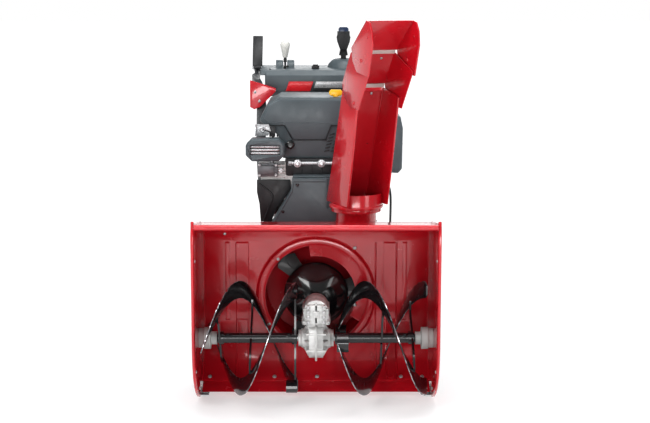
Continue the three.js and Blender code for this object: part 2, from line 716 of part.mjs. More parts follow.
const TUBE_RADIUS = 11.5;
const LEG_WIDTH = 34;
const LEG_DEPTH = 22;
function handle(side) {
  const path = new THREE.CatmullRomCurve3(
    [
      [FRAME_HALF + LEG_WIDTH / 2 + 1, 96, 300], [163, 120, 400], [190, 178, 560], [200, 238, 720],
      [200, 292, 866], [210, 322, 925], [HANDLE_X, 405, 944], [HANDLE_X, 575, 944],
    ].map(([x, y, z]) => new THREE.Vector3(side * x, y, z)),
    false, "centripetal",
  );
  const leg = bentBar(18, (u, across, through) => {
    const at = path.getPoint(u);
    const along = path.getTangent(u);
    const wide = new THREE.Vector3(1, 0, 0);
    const deep = new THREE.Vector3().crossVectors(along, wide).normalize();
    const taper = THREE.MathUtils.smoothstep(u, 0.62, 0.8);
    at.addScaledVector(wide, across * THREE.MathUtils.lerp(LEG_WIDTH, LEG_DEPTH, taper));
    return at.addScaledVector(deep, through * LEG_DEPTH).toArray();
  });
  const x = side * HANDLE_X;
  const bend = pipe([
    [x, 560, 944], [x, 600, 946], [x, ...gripPoint(0)], [x, ...gripPoint(12)],
  ], TUBE_RADIUS, 10, 10);
  const straight = rod([x, ...gripPoint(8)], [x, ...GRIP_TO], TUBE_RADIUS, 12);
  return join(leg, bend, straight);
}

function grip(side) {
  const x = side * HANDLE_X;
  return cut(
    rod([x, ...gripPoint(20)], [x, ...gripPoint(GRIP_LENGTH + 6)], 17, 16),
    rod([x, ...gripPoint(10)], [x, ...gripPoint(GRIP_LENGTH + GAP)], TUBE_RADIUS + 0.7, 12),
  );
}

// A hand lever that lies along the front of a grip and closes on it.
const LEVER_OFFSET = 42;
function handLever(side) {
  const x = side * HANDLE_X;
  const blade = prism("x", [
    gripPoint(0, 19), gripPoint(20, 30), gripPoint(131, LEVER_OFFSET),
    gripPoint(131, LEVER_OFFSET + 7), gripPoint(14, 38), gripPoint(-8, 24),
  ], x - 19, x + 19, 2);
  const hub = rod([x - 12, ...gripPoint(-2, 22)], [x + 12, ...gripPoint(-2, 22)], 7, 14);
  return join(blade, hub);
}

function gusset(side) {
  const outline = [
    [240, 948], [240, 850], [225, 842], [205, 850], [148, 906], [145, 918], [200, 936],
  ].map(([x, z]) => [side * x, z]);
  const shell = prism("y", outline, 262, 316);
  const rooms = [[182, 252], [130, 177]].map(([near, far]) =>
    box(...range(side, near, far), 266, 330, 830, 960),
  );
  return cut(shell, ...rooms);
}

const CONSOLE_HALF = 188;
const TRAY_HALF = 206; // the console's upper edge is wider, above the handles
const GIMBAL_Z = 985;
const GIMBAL_R = 21;

function consoleBody() {
  const side = [
    [334, 884], [322, 900], [318, 962], [334, 980], [400, CONSOLE_Z], [520, CONSOLE_Z + 4],
    [560, 974], [566, 930], [548, 905], [440, 884],
  ];
  const traySide = [
    [324, 962], [334, 980], [400, CONSOLE_Z], [520, CONSOLE_Z + 4], [560, 974], [562, 962],
  ];
  const body = prism("x", side, -CONSOLE_HALF, CONSOLE_HALF, 6);
  const tray = prism("x", traySide, -TRAY_HALF, TRAY_HALF, 4);
  const hollow = box(-CONSOLE_HALF + 10, CONSOLE_HALF - 10, 340, 540, 870, 950);
  const slot = box(LEVER_X - 6, LEVER_X + 6, CONTROL_Y - 62, CONTROL_Y + 50, 900, 1000);
  const gates = [-1, 1].map((end) =>
    prism("x", arc(CONTROL_Y, CONSOLE_Z - 2, 30, 0, 180, 12), LEVER_X + end * 21 - 13,
      LEVER_X + end * 21 + 13, 2),
  );
  const dome = turned("z", [JOYSTICK_X, CONTROL_Y, CONSOLE_Z - 2], [
    [0, -2], [62, -2], [56, 16], [42, 30], [32, 35], [0, 35],
  ], 20);
  const well = rod([JOYSTICK_X, CONTROL_Y, 940], [JOYSTICK_X, CONTROL_Y, CONSOLE_Z + 40],
    GIMBAL_R + 4, 20);
  const pinBore = rod([JOYSTICK_X, CONTROL_Y - 31, GIMBAL_Z], [JOYSTICK_X, CONTROL_Y + 31, GIMBAL_Z],
    PIN_R + 0.5, 12);
  return cut(join(body, tray, ...gates, dome), hollow, slot, well, pinBore);
}

const SHIFT_PIVOT = 925;
function shiftLever() {
  const blade = box(LEVER_X - 3, LEVER_X + 3, CONTROL_Y - 10, CONTROL_Y + 10, SHIFT_PIVOT - 10, 1005);
  return join(blade, rod([LEVER_X, CONTROL_Y, 995], [LEVER_X, CONTROL_Y, 1036], 4, 10));
}

const shiftKnob = () =>
  turned("z", [LEVER_X, CONTROL_Y, 0], [
    [4.4, 1024], [9, 1022], [17, 1060], [19, 1070], [16, 1078], [8, 1083], [0, 1084], [0, 1037],
    [4.4, 1037], [4.4, 1024],
  ], 14);

// The ring rocks on two pins along Y in the console, and carries the joystick on pins along X.
const PIN_R = 3;
function joystickGimbal() {
  const ring = turned("z", [JOYSTICK_X, CONTROL_Y, GIMBAL_Z], [
    [15, -6], [GIMBAL_R, -6], [GIMBAL_R, 6], [15, 6], [15, -6],
  ], 20);
  const pins = [-1, 1].map((end) =>
    rod([JOYSTICK_X, CONTROL_Y + end * 18, GIMBAL_Z], [JOYSTICK_X, CONTROL_Y + end * 29, GIMBAL_Z],
      PIN_R, 10),
  );
  const bore = rod([JOYSTICK_X - 30, CONTROL_Y, GIMBAL_Z], [JOYSTICK_X + 30, CONTROL_Y, GIMBAL_Z],
    PIN_R + 0.4, 10);
  return cut(join(ring, ...pins), bore);
}

function joystick() {
  const at = [JOYSTICK_X, CONTROL_Y];
  const ball = turned("z", [...at, GIMBAL_Z], [[0, -13], [8, -11], [13, 0], [8, 11], [0, 13]], 14);
  const pin = rod([JOYSTICK_X - 19, CONTROL_Y, GIMBAL_Z], [JOYSTICK_X + 19, CONTROL_Y, GIMBAL_Z],
    PIN_R, 10);
  const stick = rod([...at, GIMBAL_Z], [...at, 1070], 10, 12);
  const head = prism("y", [
    [-12, 1050], [12, 1050], [23, 1080], [26, 1098], [23, 1106], [23, 1120], [-23, 1120],
    [-23, 1106], [-26, 1098], [-23, 1080],
  ].map(([x, z]) => [JOYSTICK_X + x, z]), CONTROL_Y - 22, CONTROL_Y + 22, 5);
  const seat = box(JOYSTICK_X - 19, JOYSTICK_X + 19, CONTROL_Y - 18, CONTROL_Y + 18, 1104, 1130);
  return cut(join(ball, pin, stick, head), seat);
}

const joystickTrigger = () =>
  prism("y", chamferedRectangle(JOYSTICK_X - 18.6, JOYSTICK_X + 18.6, 1109, 1136, 6),
    CONTROL_Y - 17.6, CONTROL_Y + 17.6, 3);

function chuteCable() {
  return pipe([
    [150, 400, 900], [160, 330, 862], [165, 225, 700], [200, 150, 620], [250, -20, 604],
    [248, -190, 520], [234, -310, 400], [228, BACK_Y + 26, 340], [228, BACK_Y + 26, 316],
  ], 4, 30, 6);
}

bothSides((end, side) => {
  paint(`handle_${end}`, handle(side), CHARCOAL);
  paint(`gusset_${end}`, gusset(side));
  rubber(`grip_${end}`, grip(side));
  plastic(side < 0 ? "traction_lever" : "auger_lever", handLever(side), BLACK);
});
plastic("console", consoleBody());
metal("shift_lever", shiftLever(), BLACK);
plastic("shift_knob", shiftKnob(), PALE);
metal("joystick_gimbal", joystickGimbal());
plastic("joystick", joystick(), BLACK);
plastic("joystick_trigger", joystickTrigger(), NAVY);
rubber("chute_cable", chuteCable());

// ---- Chute, in its own frame: it throws towards -Y, and turns about Z ----
const CHUTE_HALF = 72;
const WALL = 3;
const COLLAR_R = NECK_R + 19; // a low curved plate that closes the chute's foot in front
const COLLAR_TOP = 34;
const chute = new THREE.Group();
chute.position.set(NECK_X, NECK_Y, CHUTE_Z);
chute.rotation.z = CHUTE_TURN;
model.add(chute);

// A channel with a back and two sides, cut from a side outline.
function channel(outline, half, wall, open) {
  return cut(prism("x", outline, -half, half), prism("x", open, -half + wall, half - wall));
}

function chuteRing() {
  const flange = turned("z", [0, 0, 0], [
    [NECK_R - SHEET, RING_Z + 0.5 - CHUTE_Z], [NECK_R + 22, RING_Z + 0.5 - CHUTE_Z],
    [NECK_R + 22, RING_Z + 8 - CHUTE_Z], [NECK_R + 14, -GAP], [NECK_R - SHEET, -GAP],
    [NECK_R - SHEET, RING_Z + 0.5 - CHUTE_Z],
  ], 28);
  const reach = THREE.MathUtils.radToDeg(Math.asin((CHUTE_HALF - WALL - 1) / COLLAR_R));
  const collar = prism("z", [
    ...arc(0, 0, COLLAR_R, 270 - reach, 270 + reach, 14),
    ...arc(0, 0, COLLAR_R - SHEET, 270 + reach, 270 - reach, 14),
  ], RING_Z + 3 - CHUTE_Z, COLLAR_TOP);
  return join(flange, collar);
}

const lowerChute = channel(
  [[72, 0], [22, 158], [-46, 376], [-152, 350], [-118, 175], [-80, 0]],
  CHUTE_HALF,
  WALL,
  [[72 - WALL, -5], [22 - WALL, 158], [-46 - WALL - 1, 390], [-260, 400], [-260, -5]],
);
const lowerDeflector = channel(
  [[-50, 392], [-110, 490], [-234, 432], [-163, 315], [-104, 322], [-62, 352]],
  CHUTE_HALF + WALL + 1.5,
  WALL,
  [[-30, 387], [-51.5, 387], [-53, 390], [-119, 498], [-260, 470], [-260, 290], [-30, 290]],
);
const upperDeflector = channel(
  [
    [-122, 505], [-222, 590], [-244, 584], [-260, 556], [-264, 515], [-236, 420], [-158, 432],
    [-130, 466],
  ],
  CHUTE_HALF + 2 * WALL + 3,
  WALL,
  [[-100, 493], [-123, 493], [-126, 502], [-234, 594], [-300, 594], [-300, 400], [-100, 400]],
);

paint("chute_ring", chuteRing(), RED, chute);
paint("chute_lower", lowerChute, RED, chute);
paint("deflector_lower", lowerDeflector, RED, chute);
paint("deflector_upper", upperDeflector, RED, chute);

export default model;
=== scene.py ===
"""The looks of a two-stage snowblower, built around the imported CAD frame.

Metres. +Z up, the machine faces -Y, +X is to the right of a viewer in front of it.
"""
import json
import math

import bmesh
import bpy
from mathutils import Matrix, Vector


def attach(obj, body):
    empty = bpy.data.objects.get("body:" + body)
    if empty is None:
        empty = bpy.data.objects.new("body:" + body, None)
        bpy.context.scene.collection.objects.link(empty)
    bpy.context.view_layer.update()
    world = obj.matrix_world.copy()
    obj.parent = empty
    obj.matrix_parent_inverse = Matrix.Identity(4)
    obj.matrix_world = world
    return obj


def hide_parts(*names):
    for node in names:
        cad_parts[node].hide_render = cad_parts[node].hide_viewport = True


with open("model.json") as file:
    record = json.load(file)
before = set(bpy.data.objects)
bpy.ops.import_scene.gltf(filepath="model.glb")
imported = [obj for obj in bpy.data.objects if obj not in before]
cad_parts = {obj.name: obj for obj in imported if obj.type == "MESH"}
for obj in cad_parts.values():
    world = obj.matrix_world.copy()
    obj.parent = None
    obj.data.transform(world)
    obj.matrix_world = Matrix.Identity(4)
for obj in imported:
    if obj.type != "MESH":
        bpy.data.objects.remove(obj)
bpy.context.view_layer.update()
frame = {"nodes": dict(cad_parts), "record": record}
NODES = frame["nodes"]

# ---- Where the CAD puts things ----
AUGER = Vector((0, -0.564, 0.207))
AUGER_R = 0.176
TUBE_R = 0.016
RIBBON_IN = 0.122
RIBBON_OUT = 0.1758
RIBBON_PITCH = 0.368
BACK_Y = -0.374
SWEEP_R = 0.19
HOUSING_HALF = 0.361
PLATE = 0.004
LIP_Y = -0.692
IMPELLER_Z = 0.298
NECK = Vector((0.13, -0.299, 0.0))
CHUTE_Z = 0.588
CHUTE_TURN = math.radians(25)
CHUTE_HALF = 0.072
WALL = 0.003
WHEEL_R = 0.203
WHEEL_X = 0.236
AXLE_Y = -0.08
CRANK_Z = 0.585
COVER_REAR = 0.126
PANEL_Z = 0.78
BRACE_Z = 0.697
GUARD_X = -0.168
CONTROL_Y = 0.44
CONSOLE_Z = 0.985
LEVER_X = -0.116
JOYSTICK_X = 0.103
HANDLE_X = 0.228
GRIP_FROM = Vector((0, 0.6305, 0.962))
GRIP_TO = Vector((0, 0.7229, 1.08))

X = Vector((1, 0, 0))
Y = Vector((0, 1, 0))
Z = Vector((0, 0, 1))
SIDES = (("left", -1), ("right", 1))
CHUTE_BODIES = ("chute", "deflector_lower", "deflector_upper")  # drawn in its frame
IN_CHUTE = Matrix.Translation((NECK.x, NECK.y, CHUTE_Z)) @ Matrix.Rotation(CHUTE_TURN, 4, "Z")


# ---- Materials ----
class Nodes:
    """A short way to add and link shader nodes in one material."""

    def __init__(self, name):
        self.material = bpy.data.materials.new(name)
        self.material.use_nodes = True
        self.tree = self.material.node_tree
        self.shader = self.tree.nodes["Principled BSDF"]
        self.place = self.add("ShaderNodeTexCoord").outputs["Object"]

    def fill(self, socket, value):
        """Links another node's output to a socket, or sets the socket to a constant."""
        if isinstance(value, bpy.types.NodeSocket):
            self.tree.links.new(value, socket)
        else:
            socket.default_value = value

    def add(self, kind, inputs=None, **settings):
        node = self.tree.nodes.new(kind)
        for key, value in settings.items():
            setattr(node, key, value)
        for key, value in (inputs or {}).items():
            self.fill(node.inputs[key], value)
        return node

    def noise(self, scale, detail=3, stretch=None):
        place = self.place
        if stretch:
            place = self.add("ShaderNodeMapping", {"Vector": place, "Scale": stretch}).outputs[0]
        node = self.add("ShaderNodeTexNoise", {"Vector": place, "Scale": scale, "Detail": detail})
        return node.outputs["Fac"]

    def ramp(self, value, low, high, to_low=0.0, to_high=1.0):
        node = self.add("ShaderNodeMapRange", {
            "Value": value, "From Min": low, "From Max": high, "To Min": to_low, "To Max": to_high,
        })
        return node.outputs["Result"]

    def mix(self, factor, first, second):
        """A blend of two colours. Inputs 0, 6 and 7 are its factor and its colours."""
        return self.add("ShaderNodeMix", {0: factor, 6: first, 7: second}, data_type="RGBA").outputs[2]

    def bump(self, height, strength, distance):
        node = self.add("ShaderNodeBump", {
            "Height": height, "Strength": strength, "Distance": distance,
        })
        self.link(node.outputs["Normal"], "Normal")

    def link(self, value, socket):
        self.tree.links.new(value, self.shader.inputs[socket])

    def set(self, **values):
        for key, value in values.items():
            self.shader.inputs[key.replace("_", " ")].default_value = value

    def mottle(self, scale, detail, colour, amount):
        """Colours the surface in clouds, darker and lighter than the colour by the amount."""
        cloud = self.ramp(self.noise(scale, detail), 0.3, 0.7)
        self.link(self.mix(cloud, shade(colour, 1 - amount), shade(colour, 1 + amount)), "Base Color")

    def roughen(self, pattern, low, high):
        self.link(self.ramp(pattern, 0.3, 0.7, low, high), "Roughness")


def shade(colour, factor):
    return (*[min(1.0, c * factor) for c in colour], 1.0)


def paint(name, colour, roughness=0.24, coat=0.75, peel=0.05, mottle=0.07):
    """Sprayed enamel: slight mottling, orange peel and a clear gloss on top."""
    n = Nodes(name)
    n.mottle(9, 4, colour, mottle)
    n.roughen(n.noise(30, 5), roughness - 0.04, roughness + 0.04)
    n.bump(n.noise(520, 2), peel, 0.0003)
    n.set(Coat_Weight=coat, Coat_Roughness=0.06, Specular_IOR_Level=0.5)
    return n.material


def plastic(name, colour, roughness=0.5, grain=0.25, scale=1500, mottle=0.12, coat=0.0):
    """Moulded plastic with a fine spark-eroded grain."""
    n = Nodes(name)
    n.mottle(14, 4, colour, mottle)
    n.roughen(n.noise(60, 4), roughness - 0.07, roughness + 0.07)
    n.bump(n.noise(scale, 2), grain, 0.0003)
    n.set(Coat_Weight=coat, Coat_Roughness=0.12)
    return n.material


def metal(name, colour, roughness=0.35, scratch=0.2, metallic=1.0, mottle=0.12):
    """Machined or plated metal with fine marks."""
    n = Nodes(name)
    n.mottle(40, 5, colour, mottle)
    marks = n.noise(300, 5)
    n.roughen(marks, roughness - 0.1, roughness + 0.14)
    n.bump(marks, scratch, 0.0003)
    n.set(Metallic=metallic)
    return n.material


def cast(name, colour, metallic=0.75):
    """Raw cast aluminium: sandy bumps and duller hollows."""
    n = Nodes(name)
    sand = n.noise(900, 6)
    stain = n.ramp(n.noise(35, 5), 0.35, 0.7)
    n.link(n.mix(stain, shade(colour, 0.72), shade(colour, 1.08)), "Base Color")
    n.roughen(sand, 0.36, 0.6)
    n.bump(sand, 0.45, 0.0006)
    n.set(Metallic=metallic)
    return n.material


def rubber(name, colour, roughness=0.75, scale=700):
    """Rubber or foam, dusty in its lighter clouds."""
    n = Nodes(name)
    dust = n.ramp(n.noise(25, 6), 0.45, 0.75)
    n.link(n.mix(dust, shade(colour, 0.8), shade(colour, 1.7)), "Base Color")
    n.roughen(n.noise(90, 4), roughness - 0.1, roughness + 0.1)
    n.bump(n.noise(scale, 3), 0.3, 0.0004)
    return n.material


def worn_paint(name, colour, bare):
    """Gloss black whose edges, marked in the mesh, are rubbed through to bare steel."""
    n = Nodes(name)
    edge = n.add("ShaderNodeAttribute", attribute_name="edge").outputs["Fac"]
    patches = n.ramp(n.noise(38, 7), 0.28, 0.72, -0.55, 0.35)
    ragged = n.add("ShaderNodeMath", {0: edge, 1: patches}, operation="ADD").outputs[0]
    worn = n.ramp(ragged, 0.72, 0.98)
    cloud = n.ramp(n.noise(20, 5), 0.35, 0.75)
    painted = n.mix(cloud, shade(colour, 0.85), shade(colour, 1.25))
    n.link(n.mix(worn, painted, shade(bare, 1)), "Base Color")
    n.link(n.ramp(worn, 0, 1, 0, 0.85), "Metallic")
    scuff = n.noise(120, 6, (1, 0.4, 0.4))
    n.link(n.ramp(scuff, 0.3, 0.75, 0.16, 0.3), "Roughness")
    n.bump(scuff, 0.08, 0.0004)
    n.set(Coat_Weight=0.5, Coat_Roughness=0.06)
    return n.material


RED = (0.5, 0.007, 0.018)
MATERIALS = {
    "red_paint": paint("red_enamel", RED),
    "black_paint": paint("black_enamel", (0.012, 0.013, 0.014), 0.25, 0.6),
    "dark_paint": paint("dark_enamel", (0.03, 0.034, 0.038), 0.42, 0.1, 0.12),
    "auger_paint": worn_paint("auger_enamel", (0.009, 0.009, 0.011), (0.42, 0.42, 0.44)),
    "cast_aluminium": cast("cast_aluminium", (0.66, 0.66, 0.65), 0.4),
    "dark_alloy": cast("dark_casting", (0.2, 0.21, 0.22)),
    "steel": metal("machined_steel", (0.55, 0.55, 0.56), 0.32),
    "zinc_steel": metal("zinc_plate", (0.46, 0.47, 0.48), 0.3, 0.1, metallic=0.5),
    "bronze": metal("bronze", (0.55, 0.38, 0.16), 0.35),
    "charcoal_plastic": plastic("charcoal_shell", (0.074, 0.094, 0.104), 0.4),
    "black_plastic": plastic("black_moulding", (0.014, 0.015, 0.017), 0.45),
    "pale_plastic": plastic("pale_moulding", (0.62, 0.62, 0.59), 0.35, 0.1, coat=0.2),
    "bearing_grey": plastic("grey_flange", (0.42, 0.43, 0.42), 0.45, 0.35, 900),
    "yellow_plastic": plastic("yellow_moulding", (0.9, 0.5, 0.015), 0.34, 0.12, coat=0.3),
    "navy_plastic": plastic("navy_moulding", (0.012, 0.03, 0.075), 0.3, 0.15, coat=0.3),
    "red_plastic": plastic("red_moulding", (0.55, 0.012, 0.02), 0.34, 0.12, coat=0.2),
    "tyre": rubber("tyre_rubber", (0.016, 0.016, 0.017)),
    "grip_rubber": rubber("grip_foam", (0.022, 0.024, 0.027), 0.68, 1600),
}
BLADE_ENAMEL = paint("blade_enamel", (0.008, 0.008, 0.009), 0.45, 0.15)
DOME_ENAMEL = paint("dome_enamel", (0.006, 0.006, 0.007), 0.17, 1.0, 0.01, 0.03)
SLOT_OF = {s["node"]: s["material_slot"] for s in frame["record"]["subparts"]}


# ---- Points and paths ----
def spread(first, last, count):
    """Evenly spaced numbers, both ends included."""
    return [first + (last - first) * i / (count - 1) for i in range(count)]


def turns(count, start=0):
    """Evenly spaced angles round a circle, in radians, from a start in degrees."""
    return [math.radians(start + 360 * i / count) for i in range(count)]


def around(u, v, angle):
    """The direction that lies at an angle from u towards v."""
    return u * math.cos(angle) + v * math.sin(angle)


def polar(centre, u, v, radius, angle):
    """A point on a circle in the plane of u and v."""
    return Vector(centre) + around(u, v, angle) * radius


def across(axis):
    """Two unit vectors square to an axis and to each other."""
    helper = Z if abs(axis.z) < 0.9 else X
    first = axis.cross(helper).normalized()
    return first, axis.cross(first).normalized()


def smooth_path(points, steps=6):
    """A Catmull-Rom curve through the points."""
    points = [Vector(p) for p in points]
    ends = [points[0] * 2 - points[1], *points, points[-1] * 2 - points[-2]]
    curve = []
    for p0, p1, p2, p3 in zip(ends, ends[1:], ends[2:], ends[3:]):
        for t in (i / steps for i in range(steps)):
            curve.append(0.5 * (
                2 * p1 + (p2 - p0) * t + (2 * p0 - 5 * p1 + 4 * p2 - p3) * t * t
                + (3 * p1 - p0 - 3 * p2 + p3) * t * t * t
            ))
    return [*curve, points[-1]]


def rounded(width, height, corner, steps=5, centre=(0, 0)):
    """A rectangle with round corners, as (u, v) points."""
    points = []
    for cx, cy, start in ((1, 1, 0), (-1, 1, 90), (-1, -1, 180), (1, -1, 270)):
        for i in range(steps + 1):
            angle = math.radians(start + 90 * i / steps)
            points.append((
                centre[0] + cx * (width / 2 - corner) + corner * math.cos(angle),
                centre[1] + cy * (height / 2 - corner) + corner * math.sin(angle),
            ))
    return points


def hexagon(radius, turn=0):
    return [(radius * math.cos(a), radius * math.sin(a)) for a in turns(6, turn)]


# ---- Shapes ----
def loft(bm, rings, capped=True):
    """Joins rings of points, each with as many points, into a skin with closed ends."""
    made = [[bm.verts.new(p) for p in ring] for ring in rings]
    count = len(made[0])
    for low, high in zip(made, made[1:]):
        for i in range(count):
            j = (i + 1) % count
            bm.faces.new((low[i], low[j], high[j], high[i]))
    if capped:
        bm.faces.new(list(reversed(made[0])))
        bm.faces.new(made[-1])
    return made


def lathe(bm, centre, axis, profile, sides=32):
    """A (radius, height) profile turned about an axis. A radius of 0 closes to a tiny ring."""
    centre, axis = Vector(centre), Vector(axis).normalized()
    a, b = across(axis)
    tiny = 1e-5
    loft(bm, [
        [polar(centre + axis * height, a, b, max(radius, tiny), t) for t in turns(sides)]
        for radius, height in profile
    ])


def lathe_open(bm, centre, axis, profile, sides):
    """A turned skin with an open middle, its profile closed on itself."""
    centre, axis = Vector(centre), Vector(axis).normalized()
    a, b = across(axis)
    rings = [
        [polar(centre, a, b, radius, t) + axis * height for radius, height in profile]
        for t in turns(sides)
    ]
    made = loft(bm, rings, capped=False)
    for i, (low, high) in enumerate(zip(made[-1], made[0])):
        j = (i + 1) % len(profile)
        bm.faces.new((low, made[-1][j], made[0][j], high))


def tube(bm, points, radius, sides=12):
    """A round bar along a path, its ends slightly rounded."""
    points = [Vector(p) for p in points]
    along = [(b - a).normalized() for a, b in zip([points[0], *points], [*points[1:], points[-1]])]
    stops = [(p, direction, radius) for p, direction in zip(points, along)]
    reach, end_radius = radius * 0.15, radius * 0.7
    stops.insert(0, (points[0] - along[0] * reach, along[0], end_radius))
    stops.append((points[-1] + along[-1] * reach, along[-1], end_radius))
    a, _ = across(along[0])
    rings = []
    for centre, direction, r in stops:
        a = (a - direction * a.dot(direction)).normalized()
        rings.append([polar(centre, a, direction.cross(a), r, t) for t in turns(sides)])
    loft(bm, rings)


def slab(bm, outline, origin, u, v, depth):
    """An outline of (u, v) points on a plane, given a thickness along the plane's normal."""
    origin, u, v = Vector(origin), Vector(u), Vector(v)
    normal = u.cross(v).normalized() * depth
    ring = [origin + u * p + v * q for p, q in outline]
    loft(bm, [ring, [p + normal for p in ring]])


def block(bm, low, high):
    """A box between two opposite corners, whichever way round their coordinates are."""
    (x0, x1), (y0, y1), (z0, z1) = [sorted(pair) for pair in zip(low, high)]
    loft(bm, [
        [Vector(p) for p in ((x0, y0, z), (x1, y0, z), (x1, y1, z), (x0, y1, z))] for z in (z0, z1)
    ])


def bolt(bm, centre, axis, radius=0.006, turn=0):
    """A flanged hexagon head with a dished top."""
    centre, axis = Vector(centre), Vector(axis).normalized()
    lathe(bm, centre, axis, [(radius * 1.35, 0), (radius * 1.35, 0.0012), (radius * 1.1, 0.002)], 20)
    a, b = across(axis)
    top = radius * 0.85
    loft(bm, [
        [centre + axis * h + a * p + b * q for p, q in hexagon(r, turn)]
        for r, h in ((radius, 0.0015), (radius, top), (radius * 0.86, top + 0.0009))
    ])


def rivet(bm, centre, axis, radius=0.005):
    lathe(bm, centre, axis, [
        (radius, -0.0003), (radius, 0.0006), (radius * 0.86, radius * 0.35),
        (radius * 0.5, radius * 0.55), (0, radius * 0.62),
    ], 18)


def pads(outlines, origin, u, v, depth):
    """A build function for flat shapes that lie on one plane."""
    def build(bm):
        for outline in outlines:
            slab(bm, outline, origin, u, v, depth)
    return build


def rods(paths, radius, sides=12):
    """A build function for round bars along several paths."""
    def build(bm):
        for path in paths:
            tube(bm, path, radius, sides)
    return build


# ---- Pieces ----
def finish(obj, bevel, angle=32):
    """Smooth shading, rounded edges if a width is given, and crisp edges past the angle."""
    obj.data.polygons.foreach_set("use_smooth", [True] * len(obj.data.polygons))
    if bevel:
        edge = obj.modifiers.new("rounded_edges", "BEVEL")
        edge.width = bevel
        edge.segments = 2
        edge.limit_method = "ANGLE"
        edge.angle_limit = math.radians(angle)
    split = obj.modifiers.new("crisp_edges", "EDGE_SPLIT")
    split.split_angle = math.radians(angle)


def piece(name, build, slot, body="chassis", material=None, bevel=0.0, angle=32, replaces=()):
    """Makes one named piece from a function that fills a bmesh."""
    bm = bmesh.new()
    build(bm)
    bmesh.ops.recalc_face_normals(bm, faces=bm.faces)
    mesh = bpy.data.meshes.new(name)
    bm.to_mesh(mesh)
    bm.free()
    if body in CHUTE_BODIES:
        mesh.transform(IN_CHUTE)
    obj = bpy.data.objects.new(name, mesh)
    bpy.context.scene.collection.objects.link(obj)
    mesh.materials.append(material or MATERIALS[slot])
    finish(obj, bevel, angle)
    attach(obj, body)
    if replaces:
        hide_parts(*replaces)


def made(*looks, **edges):
    """Makes a piece with the function below it, which gives the piece its shape and its name."""
    def make(build):
        piece(build.__name__, build, *looks, **edges)
        return build
    return make


# ---- Camera and light ----
CAMERA_AT = (0, -4.442, 1.25)
CAMERA_PITCH = 8.5  # degrees below the horizon
FLOOR_HALF = 60
FLOOR_DROP = 0.0005  # so that the skid shoes don't share the floor's plane
HORIZON_GREYS = ((0.01, 1.0), (0.03, 0.26), (0.45, 0.34))  # brightness by height in the sky
ZENITH = (0.66, 0.67, 0.69, 1)


def camera():
    data = bpy.data.cameras.new("camera")
    data.sensor_width = 36
    data.lens = 71.6
    data.shift_x = 0.0138
    data.shift_y = -0.0341
    obj = bpy.data.objects.new("camera", data)
    obj.location = CAMERA_AT
    obj.rotation_euler = (math.radians(90 - CAMERA_PITCH), 0, 0)
    bpy.context.scene.collection.objects.link(obj)
    bpy.context.scene.camera = obj


def softbox(name, location, target, size, power):
    data = bpy.data.lights.new(name, "AREA")
    data.shape = "RECTANGLE"
    data.size, data.size_y = size
    data.energy = power
    obj = bpy.data.objects.new(name, data)
    obj.location = location
    aim = Vector(target) - Vector(location)
    obj.rotation_euler = aim.to_track_quat("-Z", "Y").to_euler()
    bpy.context.scene.collection.objects.link(obj)


def sky():
    """A white horizon, where the camera sees past the floor, under a greyer sky."""
    world = bpy.data.worlds.new("studio")
    bpy.context.scene.world = world
    world.use_nodes = True
    tree = world.node_tree
    place = tree.nodes.new("ShaderNodeTexCoord")
    split = tree.nodes.new("ShaderNodeSeparateXYZ")
    ramp = tree.nodes.new("ShaderNodeValToRGB")
    ramp.color_ramp.elements[0].color = (1, 1, 1, 1)
    ramp.color_ramp.elements[1].color = ZENITH
    for height, grey in HORIZON_GREYS:
        ramp.color_ramp.elements.new(height).color = (grey, grey, grey, 1)
    tree.links.new(place.outputs["Generated"], split.inputs[0])
    tree.links.new(split.outputs["Z"], ramp.inputs[0])
    tree.links.new(ramp.outputs[0], tree.nodes["Background"].inputs["Color"])


def floor_material():
    """Pale and matt, with a glow that grows with the distance so that it ends in white."""
    n = Nodes("pale_floor")
    faint = n.ramp(n.noise(1.2, 4), 0.3, 0.7)
    n.link(n.mix(faint, (0.5, 0.5, 0.505, 1), (0.53, 0.53, 0.53, 1)), "Base Color")
    distance = n.add("ShaderNodeVectorMath", {0: n.place}, operation="LENGTH").outputs["Value"]
    n.link(n.ramp(distance, 0.8, 5, 0.52, 0.85), "Emission Strength")
    n.set(Roughness=0.9, Specular_IOR_Level=0.1, Emission_Color=(1, 1, 1, 1))
    return n.material


def studio():
    sky()
    softbox("key", (-2.4, -3.4, 3.2), (0, -0.3, 0.6), (1.6, 2.2), 80)
    softbox("fill", (3.0, -3.0, 1.8), (0, -0.3, 0.5), (1.2, 2.4), 28)
    softbox("top", (0.2, -0.6, 3.4), (0, -0.2, 0.5), (2.6, 1.8), 72)
    softbox("low_front", (0.0, -4.6, 0.9), (0, -0.4, 0.4), (2.4, 0.7), 50)
    softbox("back", (0.6, 3.6, 2.4), (0, 0.2, 0.7), (2.4, 2.0), 40)
    mesh = bpy.data.meshes.new("floor")
    corners = [(x * FLOOR_HALF, y * FLOOR_HALF, 0) for x, y in ((-1, -1), (1, -1), (1, 1), (-1, 1))]
    mesh.from_pydata(corners, [], [(0, 1, 2, 3)])
    floor = bpy.data.objects.new("floor", mesh)
    floor.location.z = -FLOOR_DROP
    bpy.context.scene.collection.objects.link(floor)
    mesh.materials.append(floor_material())
    view = bpy.context.scene.view_settings
    view.view_transform = "Standard"
    view.gamma = 0.86


camera()
studio()


# ---- CAD nodes that keep their shape ----
SOFT_EDGE = {
    "engine_cover": 0.003, "fuel_tank": 0.003, "console": 0.0015, "belt_cover": 0.0015,
    "gearbox_case": 0.0012, "muffler_guard": 0.004, "traction_lever": 0.0025,
    "auger_lever": 0.0025,
}
OTHER_EDGES = 0.0005
WELD_WITHIN = 0.00002


